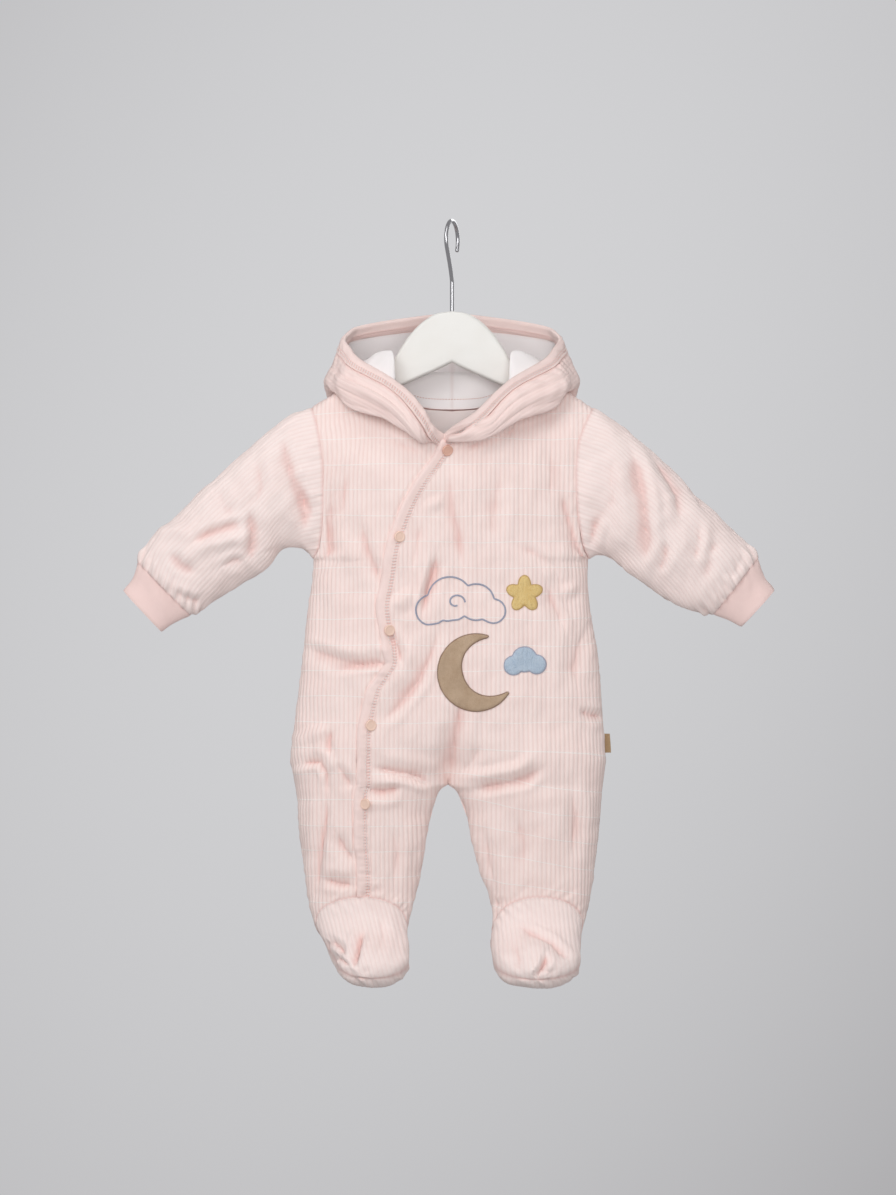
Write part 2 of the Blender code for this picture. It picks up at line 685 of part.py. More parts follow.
def hood(outer_finish, lining_finish, band_finish):
    middle = HOOD_PLACES[-1]
    gap = 0.008  # half the centre seam's gap, in places round the loop
    left = np.minimum(HOOD_PLACES, middle - gap)
    halves = {"left": left, "right": (2 * middle - left)[::-1]}

    def rows(first):
        """The hood's rows below the rim's band. The first stands clear of the band, further where the hood is low."""

        def at(share):
            def place(length):
                clear = first if share == 0 else 0.8
                clear += 3 * max(0, 1 - length / 80)
                return (rim_width(length) + clear) * (1 - share) + length * share

            return place

        return [at(share) for share in HOOD_ROWS]

    band = [lambda length, share=share: rim_width(length) * share for share in (0, 0.5, 1)]
    under = CLOTH + SEAM
    for name, places in halves.items():
        outer = (hood_wall(places, rows(0.8), 0), hood_wall(places, rows(0.8), CLOTH))
        shell(f"hood_{name}", [outer], outer_finish)
        lining = (hood_wall(places, rows(1.8), under), hood_wall(places, rows(1.8), under + LINING))
        shell(f"hood_lining_{name}", [lining], lining_finish)
    places = np.concatenate([halves["left"], halves["right"]])
    rim = (hood_wall(places, band, -0.3), hood_wall(places, band, under + LINING + 0.3))
    shell("hood_rim", [rim], band_finish)


# The hanger


HANGER_TOP = columns(
    "reach height",
    (0, -88.4), (14, -90.5), (27, -97.5), (38, -107.5), (47, -119), (54, -130), (62, -143), (74, -153.4),
    (90, -160), (108, -169.5), (124, -180),
)
HANGER_TIP = (128.5, -188.0)
HANGER_UNDER = columns("reach height", (123, -196), (80, -176.5), (40, -158.5), (12, -146), (0, -140))


def hanger_board(finish):
    right = list(zip(HANGER_TOP["reach"], HANGER_TOP["height"])) + [HANGER_TIP]
    right += list(zip(HANGER_UNDER["reach"], HANGER_UNDER["height"]))
    outline = right + [(-x, z) for x, z in right[-2:0:-1]]
    count = len(outline)
    points = [(x, y, z) for y in (-BOARD / 2, BOARD / 2) for x, z in outline]
    faces = [list(range(count)), list(range(2 * count - 1, count - 1, -1))]
    faces += [(k, (k + 1) % count, (k + 1) % count + count, k + count) for k in range(count)]
    faces[2:] = [tuple(reversed(face)) for face in faces[2:]]
    made = add_object("hanger_board", points, faces, finish)
    bevel = made.modifiers.new("Rounded edges", "BEVEL")
    bevel.width = 3.5 * MM
    bevel.segments = 2
    bevel.limit_method = "ANGLE"
    bevel.angle_limit = math.radians(50)
    bevel.harden_normals = False
    return made


def hook_route():
    """Up from the board, forward round the front of the rail, over it and down behind."""
    radius = HOOK_INSIDE + WIRE
    stem_top = -60.0
    points = [(0.0, z) for z in np.linspace(HANGER_TOP["height"][0] + SEAM, stem_top, 5)]
    start = np.array((0.0, stem_top))
    join = math.radians(-20)
    end = np.array((-radius * math.cos(join), -HOOK_INSIDE + radius * math.sin(join)))
    heading = np.array((math.sin(join), math.cos(join)))
    for t in np.linspace(0, 1, 11)[1:]:
        a = start + np.array((0.0, 16.0)) * t
        b = end - heading * 16.0 * (1 - t)
        points.append(tuple(a * (1 - smooth(t)) + b * smooth(t)))
    for angle in np.linspace(join, math.pi + math.radians(35), 25)[1:]:
        points.append((-radius * math.cos(angle), -HOOK_INSIDE + radius * math.sin(angle)))
    return [(y * math.sin(HOOK_TURN), y * math.cos(HOOK_TURN), z) for y, z in points]


def hanger_hook(finish):
    curve = bpy.data.curves.new("hanger_hook", "CURVE")
    curve.dimensions = "3D"
    curve.bevel_depth = WIRE * MM
    curve.bevel_resolution = 2
    curve.use_fill_caps = True
    line = curve.splines.new("POLY")
    route = hook_route()
    line.points.add(len(route) - 1)
    for point, place in zip(line.points, route):
        point.co = (*(value * MM for value in place), 1)
    curve.materials.append(finish)
    made = bpy.data.objects.new("hanger_hook", curve)
    bpy.context.scene.collection.objects.link(made)
    return made


# What lies on the front: its points are found on the panel's own surface and moved out.


def surface_of(*objects):
    """A function that gives the front's point in millimetres and its normal at x and z."""
    trees = []
    for made in objects:
        points = [vertex.co / MM for vertex in made.data.vertices]
        faces = [tuple(polygon.vertices) for polygon in made.data.polygons]
        trees.append(BVHTree.FromPolygons(points, faces))

    def at(x, z):
        hits = [tree.ray_cast(Vector((x, -400, z)), Vector((0, 1, 0))) for tree in trees]
        hits = [hit for hit in hits if hit[0]]
        if not hits:
            return None
        point, normal, _, _ = min(hits, key=lambda hit: hit[0].y)
        return np.array(point), np.array(normal)

    return at


def snap(name, x, z, surface, finish):
    """A domed cap, square to the band and just clear of it all round."""
    sides = 14
    centre, normal = surface(x, z)
    across = np.cross(normal, (0, 0, 1))
    across /= np.linalg.norm(across)
    upwards = np.cross(across, normal)
    angles = np.arange(sides) * 2 * math.pi / sides
    rim = np.outer(np.cos(angles), across) + np.outer(np.sin(angles), upwards)
    below = [surface(*(centre + SNAP_RADIUS * arm)[[0, 2]]) for arm in rim]
    clear = max(np.dot(found[0] - centre, normal) for found in below if found) + SEAM
    points = []
    for share, height in SNAP_PROFILE:
        points += list(centre + share * SNAP_RADIUS * rim + (clear + height) * normal)
    faces = [list(range(sides))[::-1], list(range(3 * sides, 4 * sides))]
    for level in range(3):
        for k in range(sides):
            after = (k + 1) % sides
            low, high = level * sides, (level + 1) * sides
            faces.append((low + k, low + after, high + after, high + k))
    return add_object(name, points, faces, finish)


def applique(name, flat, surface, finish):
    """A patch of pile cloth over the (x, z) grid, lying on the front."""
    on = np.array([[surface(x, z)[0] for x, z in row] for row in flat])
    return shell(name, [(on - (0, PATCH_TOP, 0), on - (0, PATCH_UNDER, 0))], finish)


def moon_grid(x, z, radius, thickness, turn):
    """A crescent: rows run from horn to horn."""
    rows = []
    for t in np.linspace(-1, 1, 15):
        angle = turn + t * math.radians(128)
        width = thickness * (1 - t * t) + 1.2
        inner = radius - width
        rows.append([(x + r * math.cos(angle), z + r * math.sin(angle)) for r in np.linspace(inner, radius, 4)])
    return np.array(rows)


def star_grid(x, z, radius, points, depth):
    """A rounded star: rows run from its middle out, columns round it."""
    angles = np.linspace(0, 2 * math.pi, 6 * points + 1) + math.pi / 2
    outline = radius * (1 - depth + depth * np.abs(np.cos(points * (angles - math.pi / 2) / 2)) ** 1.5)
    shares = np.array((0, 0.45, 1))[:, None]
    return np.stack([x + shares * outline * np.cos(angles), z + shares * outline * np.sin(angles)], axis=-1)


def cloud_grid(x, z, puffs):
    """A cloud: the outline of round puffs, each given by its place from the middle and its radius."""
    angles = np.linspace(0, 2 * math.pi, 37)
    reach = np.zeros(len(angles))
    for px, pz, radius in puffs:
        along = px * np.cos(angles) + pz * np.sin(angles)
        inside = radius**2 - px**2 - pz**2 + along**2
        reach = np.maximum(reach, np.where(inside > 0, along + np.sqrt(np.maximum(inside, 0)), 0))
    shares = np.array((0, 0.5, 1))[:, None]
    return np.stack([x + shares * reach * np.cos(angles), z + shares * reach * np.sin(angles)], axis=-1)


def label_tab(finish):
    """A bare folded tab that stands out of the side seam."""
    z = np.array((-512.0, -531.0))
    inner = side("right", z, 0.0) + 0.35
    points = [(x, y, z[k]) for y in (-0.6, 0.6) for k in (0, 1) for x in (inner[k], inner[k] + 5.5)]
    faces = [(0, 2, 3, 1), (4, 5, 7, 6), (0, 1, 5, 4), (2, 6, 7, 3), (0, 4, 6, 2), (1, 3, 7, 5)]
    return add_object("label_tab", points, faces, finish)


def clear_scene():
    for made in list(bpy.data.objects):
        bpy.data.objects.remove(made)


def main():
    clear_scene()
    rib = material("pink rib knit", (0.83, 0.69, 0.66), 0.9)
    plain = material("pink plain knit", (0.76, 0.6, 0.57), 0.9)
    lining = material("white lining", (0.87, 0.83, 0.81), 0.9)
    pink_lining = material("pink lining", (0.78, 0.64, 0.61), 0.9)
    plastic = material("peach snap plastic", (0.83, 0.6, 0.49), 0.35)
    tan = material("tan velour", (0.61, 0.45, 0.32), 0.95)
    yellow = material("yellow terry", (0.77, 0.58, 0.3), 0.95)
    blue = material("pale blue terry", (0.58, 0.65, 0.73), 0.95)
    tape = material("tan woven tape", (0.51, 0.34, 0.2), 0.8)
    paint = material("off-white paint", (0.82, 0.81, 0.78), 0.4)
    chrome = material("chrome wire", (0.6, 0.6, 0.6), 0.2, 1.0)

    overlap = front_overlap(rib)
    front_underlap(rib)
    back(rib)
    band = wrap_binding(plain)
    back_neck_lining(pink_lining)
    feet(rib, rib)
    for name in ("left", "right"):
        sleeve(name, rib)
        cuff(name, plain)
    hood(rib, lining, plain)

    front = surface_of(overlap, band)
    for number, row in enumerate(rows_of(SNAPS), 1):
        snap(f"snap_{number}", row["x"], row["z"], front, plastic)
    panel = surface_of(overlap)
    applique("applique_moon", moon_grid(24, -450, 38, 23, math.radians(200)), panel, tan)
    applique("applique_star", star_grid(72, -372, 18, 5, 0.42), panel, yellow)
    puffs = ((-11, -3, 9), (0, 3, 12), (12, -2, 9))
    applique("applique_cloud", cloud_grid(72, -440, puffs), panel, blue)
    label_tab(tape)
    hanger_board(paint)
    hanger_hook(chrome)


main()
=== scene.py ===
"""The looks of a baby's padded, hooded romper that hangs on a child's hanger.

The cloth repeats the forms of the CAD walls with fine grids, so its tables are in millimetres: x to the
wearer's left, y to the back, z up from the hook's inner top. "left" and "right" are -X and +X.
"""

import json
import math

import bmesh
import bpy
import numpy as np
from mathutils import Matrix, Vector, kdtree
from mathutils.bvhtree import BVHTree

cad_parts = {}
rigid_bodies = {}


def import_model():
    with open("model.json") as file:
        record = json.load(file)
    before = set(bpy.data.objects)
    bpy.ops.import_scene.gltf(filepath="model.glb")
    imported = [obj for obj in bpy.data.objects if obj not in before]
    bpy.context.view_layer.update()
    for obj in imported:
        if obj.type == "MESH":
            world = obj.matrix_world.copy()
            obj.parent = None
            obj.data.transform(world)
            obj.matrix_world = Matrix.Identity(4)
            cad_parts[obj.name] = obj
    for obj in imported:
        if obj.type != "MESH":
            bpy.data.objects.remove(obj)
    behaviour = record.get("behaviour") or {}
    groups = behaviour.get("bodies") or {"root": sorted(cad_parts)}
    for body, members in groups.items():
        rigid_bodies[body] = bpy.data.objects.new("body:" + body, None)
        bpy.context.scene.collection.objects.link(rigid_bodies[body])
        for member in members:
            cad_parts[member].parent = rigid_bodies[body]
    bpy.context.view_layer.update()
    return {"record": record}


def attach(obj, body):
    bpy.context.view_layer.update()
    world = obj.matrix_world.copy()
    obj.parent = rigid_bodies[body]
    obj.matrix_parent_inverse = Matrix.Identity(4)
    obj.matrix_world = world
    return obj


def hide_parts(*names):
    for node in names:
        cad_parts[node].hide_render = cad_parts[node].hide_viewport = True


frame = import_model()

# Driving dimensions
MM = 0.001
CLOTH = 3.0  # the padded rib cloth's wall
LINING = 1.4
BAND = 3.2  # the plain knit binding's wall
SEAM = 0.1  # the gap that two pieces keep along a straight seam
CURVED_SEAM = -0.4  # one that curves laps by this much, so that unlike facets leave no gap
FOOT_SEAM = -0.4  # the lap at the vamp and sole, along the leg
HALF = SEAM / 2
OUTWARDS = {"front": -1, "back": 1}
CROTCH_X = -4.0
CROTCH_Z = -563.0
ARMPIT_Z = -338.0
SHOULDER_TIP_Z = -185.0
NECK_REACH = 75.0  # from the middle to where the neck meets the shoulder seam
SHOULDER_ROUND = 9.8  # the wall's radius over the hanger's arm
ARMHOLE_DEPTH = 24.0  # half, front to back
HOLLOW_BELOW_SHOULDER = 110.0  # how far down the chest takes to fill out
ARMHOLE_RISE = 55.0  # how far down the armhole takes to reach its depth
CLEFT_ROUND = 40.0  # how gently the two legs part
CLEFT_TOP = -478.0  # where the front starts to part into two legs
FULLNESS = 2.3  # the sections' exponent: 2 is an ellipse
OVERLAP = 26.0  # how far the underlap runs on below the overlap
BAND_WIDTH = 14.0
MIDDLE_SHIFT = 30.0  # how far right of the crotch the front's columns part at the throat
THROAT_Z = -214.0
BOARD = 11.0  # the hanger board's thickness
WIRE = 2.0  # the hook wire's radius
HOOK_INSIDE = 17.0  # the hook's inner radius
HOOK_TURN = math.radians(18)


def columns(names, *rows):
    """A table as named columns."""
    return dict(zip(names.split(), np.array(rows, float).T))


TORSO = columns(
    "height left right front back",
    (-185, -141.0, 142.0, 30, 24),
    (-203, -135.5, 133.0, 32, 26),
    (-224, -131.4, 126.0, 34, 27),
    (-251, -129.0, 124.0, 36, 29),
    (-281, -129.0, 125.0, 37, 30),
    (-307, -130.6, 128.0, 37, 31),
    (-325, -133.0, 131.5, 37, 31),
    (-338, -139.0, 137.0, 37, 31),
    (-354, -140.0, 136.5, 37, 31),
    (-386, -145.0, 139.0, 38, 32),
    (-434, -150.0, 147.0, 40, 34),
    (-498, -158.0, 152.0, 41, 37),
    (-538, -162.0, 154.5, 40, 38),
    (-563, -158.0, 152.0, 36, 36),
)

# "along" runs down the leg from the crotch and then forward through the foot. "tilt" turns a section about
# X, in degrees: at 0 the tube runs down, at 90 it runs forward.
LEG_COLUMNS = "along left right forward height tilt front back"
LEGS = {
    "left": columns(
        LEG_COLUMNS,
        (0, -158, -4, 0, -563, 0, 36, 36),
        (7, -157, -13, 0, -570, 0, 36, 36),
        (23, -155, -19, 0, -586, 0, 35, 35),
        (55, -153, -25, 0, -618, 0, 33, 32),
        (87, -148, -30, 0, -650, 0, 30, 28),
        (112, -145, -36, 1, -675, 3, 27, 25),
        (135, -140, -42, 4, -697, 14, 26, 25),
        (155, -132, -44, 12, -714, 32, 25, 25),
        (173, -123, -42, 25, -727, 48, 24, 25),
        (193, -115, -42, 42, -737, 58, 22, 24),
    ),
    "right": columns(
        LEG_COLUMNS,
        (0, -4, 152, 0, -563, 0, 36, 36),
        (7, 5, 151, 0, -570, 0, 36, 36),
        (23, 12, 150, 0, -586, 0, 35, 35),
        (55, 19, 147, 0, -618, 0, 33, 32),
        (87, 27, 143, 0, -650, 0, 30, 28),
        (112, 36.5, 139, 1, -675, 3, 27, 25),
        (135, 40, 134, 4, -697, 14, 26, 25),
        (155, 38.5, 130, 12, -714, 32, 25, 25),
        (173, 38.5, 129, 25, -727, 48, 24, 25),
        (193, 41, 128, 42, -738, 58, 23, 24),
    ),
}
BALL_ALONG = 193.0  # the last section, from which the toe rounds off
TOE_LENGTH = 34.0
TOE_TILT = math.radians(66)
FOOT_SIDE_ALONG = 152.0  # where vamp, sole and leg meet at the foot's sides
VAMP_TOP_ALONG = 112.0
HEEL_ALONG = 143.0

# From the armhole to the cuff's seam: the section's top and underside points, and half its depth.
RING_COLUMNS = "top_x top_z low_x low_z depth"
SLEEVES = {
    "left": columns(
        RING_COLUMNS,
        (-164, -194, -152, -327, 27),
        (-195, -218, -170, -328, 29),
        (-222, -242, -184, -345, 29),
        (-249, -266, -206, -360, 28),
        (-275, -292, -228, -373, 26),
        (-300, -314, -248, -386, 22),
        (-315, -340, -262, -394, 16),
    ),
    "right": columns(
        RING_COLUMNS,
        (157, -194, 148, -334, 27),
        (187, -218, 164, -339, 29),
        (216, -242, 184, -357, 29),
        (240, -268, 204, -370, 28),
        (264, -290, 224, -382, 26),
        (290, -316, 243, -390, 22),
        (307, -335.5, 262, -393, 16),
    ),
}
CUFFS = {
    "left": columns(
        RING_COLUMNS,
        (-314.65, -341.1, -263.05, -393.65, 14),
        (-320.5, -357, -279, -401.5, 12),
        (-330, -368, -291, -410, 12),
    ),
    "right": columns(
        RING_COLUMNS,
        (306.8, -336.6, 263.0, -392.5, 14),
        (313.5, -355, 277.5, -398.5, 12),
        (323.6, -368, 290, -405, 12),
    ),
}

SHOULDER = columns(
    "reach height",
    (0, -82), (37, -104), (50, -115), (62, -131), (75, -143.5), (90, -153.5), (108, -164), (125, -174.5),
    (141, -185),
)
NECK = {
    "front": columns(
        "reach height", (0, -216), (20, -212), (45, -197), (62, -179), (70, -161), (75, -143.5)
    ),
    "back": columns("reach height", (0, -188), (30, -185.6), (55, -175), (68, -160), (75, -143.5)),
}
# The outer edge of the wrap's binding, from the neck to the vamp.
WRAP = columns(
    "height x",
    (-213.5, -10), (-234.5, -20), (-259, -37), (-280, -49), (-301.5, -58), (-324, -66), (-359, -71.6),
    (-386, -76), (-407, -73), (-425, -69), (-438.5, -68), (-458, -78.6), (-468, -85), (-521.6, -94.6),
    (-562, -94.6), (-588.5, -91), (-642, -94.6), (-700, -95),
)
SNAPS = columns("x z", (-5, -229), (-53, -315), (-63, -408), (-81, -502.5), (-85, -580.5))

# How finely the cloth is drawn
ROWS_ROUND_ARMHOLE = 56
ROWS_BELOW = 104
OVER_COLUMNS = 80
MAIN_COLUMNS = 160
UNDER_COLUMNS = 140
BACK_COLUMNS = 132
LEG_ROWS = np.linspace(0, 1, 65)
FOOT_ROWS = np.linspace(0, 1, 49)
TUCK = CLOTH + 0.7  # how far the underlap sinks below the overlap
WRAP_AT_ANKLE = 0.46  # the wrap's edge, as a share of the left leg's width
OVER_SHARES = np.linspace(0, 1, OVER_COLUMNS + 1)
OVER_TOP = np.linspace(4.9, 26, OVER_COLUMNS + 1)
RIGHT_SHARES = np.linspace(0, 1, MAIN_COLUMNS + 1)
RIGHT_TOP = np.linspace(26, 142, MAIN_COLUMNS + 1)
UNDER_SHARES = np.linspace(0, 1, UNDER_COLUMNS + 1)
UNDER_TOP = np.linspace(-141, -10, UNDER_COLUMNS + 1)
HIDDEN_STEPS = np.linspace(0, OVERLAP, 9)
BACK_SHARES = np.linspace(0, 1, BACK_COLUMNS + 1)
BACK_TOP_LEFT = np.linspace(-141, -4, BACK_COLUMNS + 1)
BACK_TOP_RIGHT = np.linspace(-4, 142, BACK_COLUMNS + 1)
CUFF_WALL = 2.5
ARMHOLE_MIDDLE_Z = (SHOULDER_TIP_Z + ARMPIT_Z) / 2
ARMHOLE_HALF = (SHOULDER_TIP_Z - ARMPIT_Z) / 2
RING_STEPS = 150  # round half a sleeve
RING_ANGLES = np.linspace(0, math.pi, RING_STEPS + 1)  # 0 on top and pi underneath


def armhole_heights(count):
    """From the shoulder's tip down to the armpit, in even steps round the armhole."""
    return ARMHOLE_MIDDLE_Z + ARMHOLE_HALF * np.cos(np.linspace(0, math.pi, count + 1))


TORSO_ROWS = np.concatenate(
    [armhole_heights(ROWS_ROUND_ARMHOLE), np.linspace(ARMPIT_Z, CROTCH_Z, ROWS_BELOW + 1)[1:]]
)
ARMHOLE_ROWS = armhole_heights(RING_STEPS)


def read(table, name, at, key="height"):
    """One column of a table, on a smooth curve that never overshoots its rows."""
    order = np.argsort(table[key])
    knots = table[key][order]
    values = table[name][order]
    steps = np.diff(knots)
    slopes = np.diff(values) / steps
    product = slopes[1:] * slopes[:-1]
    total = np.where(product > 0, slopes[1:] + slopes[:-1], 1)
    inner = np.where(product > 0, 2 * product / total, 0)
    tangents = np.concatenate([slopes[:1], inner, slopes[-1:]])
    at = np.clip(at, knots[0], knots[-1])
    i = np.clip(np.searchsorted(knots, at) - 1, 0, len(steps) - 1)
    t = (at - knots[i]) / steps[i]
    rise = t * t * (3 - 2 * t)
    bend = t * (1 - t) * steps[i] * ((1 - t) * tangents[i] - t * tangents[i + 1])
    return values[i] * (1 - rise) + values[i + 1] * rise + bend


def smooth(t):
    t = np.clip(t, 0, 1)
    return t * t * (3 - 2 * t)


def dome(s, fullness=FULLNESS):
    """A section's rounded height, from 1 in its middle to 0 at s = -1 and 1."""
    return (1 - np.clip(np.abs(s), 0, 1) ** fullness) ** (1 / fullness)


# The trunk: a wall in front of and behind the (x, z) plane, which meet at the seams.


def shoulder(x):
    return read(SHOULDER, "height", np.abs(x), "reach")


def side_height(z, inset):
    """Round the armhole, the inner edge of the wall is a smaller loop."""
    smaller = ARMHOLE_MIDDLE_Z + (z - ARMHOLE_MIDDLE_Z) * (1 - inset / ARMHOLE_HALF)
    return np.where(z < ARMPIT_Z, z, smaller)


def side(name, z, inset):
    """The left or right edge. Below the armpit the wall stands in from the side seam."""
    inwards = 1 if name == "left" else -1
    return read(TORSO, name, z) + inwards * inset * smooth((ARMPIT_Z - z) / 8)


def trunk_depth(x, z, face, inset):
    below = shoulder(x) - inset - z
    radius = SHOULDER_ROUND - inset
    cap = radius * np.sqrt(1 - (1 - np.clip(below / radius, 0, 1)) ** 2)
    full = cap + (read(TORSO, face, z) - SHOULDER_ROUND) * smooth(below / HOLLOW_BELOW_SHOULDER)
    closing = np.clip((ARMHOLE_MIDDLE_Z - z) / (ARMHOLE_MIDDLE_Z - ARMPIT_Z - inset), 0, 1)
    arm = cap + (ARMHOLE_DEPTH - SHOULDER_ROUND) * smooth(below / ARMHOLE_RISE)
    arm = arm * np.sqrt(1 - closing**2)
    left = side("left", z, inset)
    right = side("right", z, inset)
    s = (2 * x - left - right) / (right - left)
    beside_sleeve = smooth((z - ARMPIT_Z) / 40)
    across = (1 - beside_sleeve) * dome(s) + beside_sleeve * (1 - np.clip(s, -1, 1) ** 2)
    one = arm + (full - arm) * across
    parted = smooth((CLEFT_TOP - z) / (CLEFT_TOP - CROTCH_Z - inset))
    from_side = np.maximum(np.where(x < CROTCH_X, x - left, right - x), 0)
    from_middle = np.hypot(x - CROTCH_X, CLEFT_ROUND * (1 - parted))
    two = full * dome((from_side - from_middle) / np.maximum(from_side + from_middle, 1e-6))
    return (1 - parted) * one + parted * two


def trunk(flat, face, inset):
    """Points of the wall over or under the (x, z) points."""
    x, z = flat[..., 0], flat[..., 1]
    return np.stack([x, OUTWARDS[face] * (HALF + trunk_depth(x, z, face, inset)), z], axis=-1)


def fill(top, bottom, left, right):
    """(x, z) points filled in between four edges, which meet at their ends."""
    across = ((top[:, 0] - top[0, 0]) / (top[-1, 0] - top[0, 0]))[None, :, None]
    down = ((right[:, 1] - right[0, 1]) / (right[-1, 1] - right[0, 1]))[:, None, None]
    edges = (1 - down) * top[None] + down * bottom[None]
    edges = edges + (1 - across) * left[:, None] + across * right[:, None]
    corners = (1 - down) * ((1 - across) * top[0] + across * top[-1])
    corners = corners + down * ((1 - across) * bottom[0] + across * bottom[-1])
    return edges - corners


def top_edge(xs, face, inset):
    xs = np.array(xs, float)
    neck = read(NECK[face], "height", np.abs(xs), "reach")
    seam = shoulder(xs) - inset
    inside = np.abs(xs) < NECK_REACH
    return np.stack([xs, np.where(inside, np.minimum(neck, seam), seam)], axis=-1)


def falling(top, x_at, inset):
    """An edge from the neckline down to the crotch's height, with as many rows as the sides have."""
    share = (TORSO_ROWS - TORSO_ROWS[0]) / (TORSO_ROWS[-1] - TORSO_ROWS[0])
    z = top[1] + (CROTCH_Z + inset - top[1]) * share
    x = x_at(z)
    return np.stack([x + (top[0] - x[0]) * (1 - share), z], axis=-1)


def side_edge(name, inset):
    z = side_height(TORSO_ROWS, inset)
    z[-1] = CROTCH_Z + inset
    return np.stack([side(name, z, inset), z], axis=-1)


def wrap_x(z):
    return read(WRAP, "x", z)


def middle_x(z):
    """The line that the front's columns part on: the crotch's, and over to the right near the neck."""
    return CROTCH_X + MIDDLE_SHIFT * np.clip((z - CLEFT_TOP) / (THROAT_Z - CLEFT_TOP), 0, 1) ** 2


def block(top_xs, shares, left, right, face, inset):
    """A panel's stretch above the crotch, from its neckline to the crotch's height."""
    bottom_x = left[-1, 0] + (right[-1, 0] - left[-1, 0]) * np.asarray(shares)
    bottom = np.stack([bottom_x, np.full(len(bottom_x), left[-1, 1])], axis=-1)
    return fill(top_edge(top_xs, face, inset), bottom, left, right)


# The legs and feet: sections along a tube that turns forward at the ankle.


def leg(name, along, share, face, inset):
    table = LEGS[name]
    here = np.minimum(along, BALL_ALONG)
    at = {column: read(table, column, here, "along") for column in table if column != "along"}
    inseam = smooth(along / 8)
    from_left = inset * (inseam if name == "right" else 1)
    from_right = inset * (inseam if name == "left" else 1)
    left = at["left"] + from_left
    right = at["right"] - from_right
    x = at["left"] + share * (at["right"] - at["left"])
    x = x + from_left * (1 - share) ** 6 - from_right * share**6
    across = (2 * x - left - right) / (right - left)
    toe = np.clip((along - BALL_ALONG) / TOE_LENGTH, 0, 1) * math.pi / 2
    x = (left + right) / 2 + across * (right - left) / 2 * np.cos(toe)
    reach = HALF + (at[face] - inset) * dome(across) * np.cos(toe)
    ahead = (TOE_LENGTH - inset) * np.sin(toe)
    tilt = np.radians(at["tilt"])
    y = -at["forward"] - ahead * math.sin(TOE_TILT) + OUTWARDS[face] * reach * np.cos(tilt)
    z = at["height"] - ahead * math.cos(TOE_TILT) - OUTWARDS[face] * reach * np.sin(tilt)
    return np.stack([x, y, z + inset * np.clip(1 - along / 20, 0, 1)], axis=-1)


def arch(share, top):
    """How far along the leg its panel ends: an arch over the instep, or under the heel."""
    return FOOT_SIDE_ALONG - (FOOT_SIDE_ALONG - top) * dome(2 * share - 1, 2)


def leg_wall(name, shares_at, face, inset, end):
    """A leg panel from the crotch to its arch; shares_at gives its columns' shares along the leg."""
    last = shares_at(VAMP_TOP_ALONG)
    along = LEG_ROWS[:, None] * arch(last, end)[None]
    shares = np.array([shares_at(row * VAMP_TOP_ALONG) for row in LEG_ROWS])
    return leg(name, along, shares, face, inset)


def foot_wall(name, shares, face, start, inset):
    along = arch(shares, start)[None] + FOOT_SEAM
    along = along + FOOT_ROWS[:, None] * (BALL_ALONG + TOE_LENGTH - along)
    return leg(name, along, np.broadcast_to(shares, along.shape), face, inset)


def wrap_share(along, beyond=0.0):
    """A place this far beyond the wrap's edge, as a share of the left leg's width."""
    table = LEGS["left"]
    left, right = (read(table, name, along, "along") for name in ("left", "right"))
    at_crotch = (wrap_x(CROTCH_Z) - table["left"][0]) / (table["right"][0] - table["left"][0])
    edge = at_crotch + (WRAP_AT_ANKLE - at_crotch) * along / VAMP_TOP_ALONG
    return edge + beyond / (right - left)


def over_shares(along):
    start = wrap_share(along, BAND_WIDTH + CURVED_SEAM)
    return start + (1 - start) * OVER_SHARES


def under_shares(along):
    return wrap_share(along) * UNDER_SHARES


def hidden_shares(along):
    return wrap_share(along, HIDDEN_STEPS)


def back_half(name, inset):
    """Half of the back above the crotch, from its side seam to its middle."""
    tops = BACK_TOP_LEFT if name == "left" else BACK_TOP_RIGHT
    top = top_edge(tops, "back", inset)
    middle = falling(top[-1 if name == "left" else 0], lambda z: np.full_like(z, CROTCH_X), inset)
    edges = (side_edge("left", inset), middle) if name == "left" else (middle, side_edge("right", inset))
    return trunk(block(tops, BACK_SHARES, *edges, "back", inset), "back", inset)


def around(front, behind):
    """A closed ring from its front half and its back half, which share their ends."""
    return np.concatenate([front, behind[-2:0:-1], front[:1]])


def armhole(name, inset):
    """The body's own edge round the armhole, moved out by the seam's gap."""
    z = side_height(ARMHOLE_ROWS, inset)
    flat = np.stack([side(name, z, inset), z], axis=-1)
    ring = around(trunk(flat, "front", inset), trunk(flat, "back", inset))
    ends = (0, len(z) - 1, len(ring) - 1)
    ring[ends, 1] = 0
    ring[:, 0] += -CURVED_SEAM if name == "left" else CURVED_SEAM
    return ring


def section(row, inset):
    """A sleeve's or cuff's ring from its top point, its underside point and its depth."""
    upper = np.array((row["top_x"], 0, row["top_z"]))
    lower = np.array((row["low_x"], 0, row["low_z"]))
    half = (upper - lower) / 2
    half = half * (1 - inset / np.linalg.norm(half))
    depth = np.array((0, row["depth"] - inset, 0))
    rise = np.cos(RING_ANGLES)[:, None] * half + (upper + lower) / 2
    swell = np.sin(RING_ANGLES)[:, None] * depth
    return around(rise - swell, rise + swell)


def rows_of(table):
    count = len(next(iter(table.values())))
    return [{name: values[k] for name, values in table.items()} for k in range(count)]


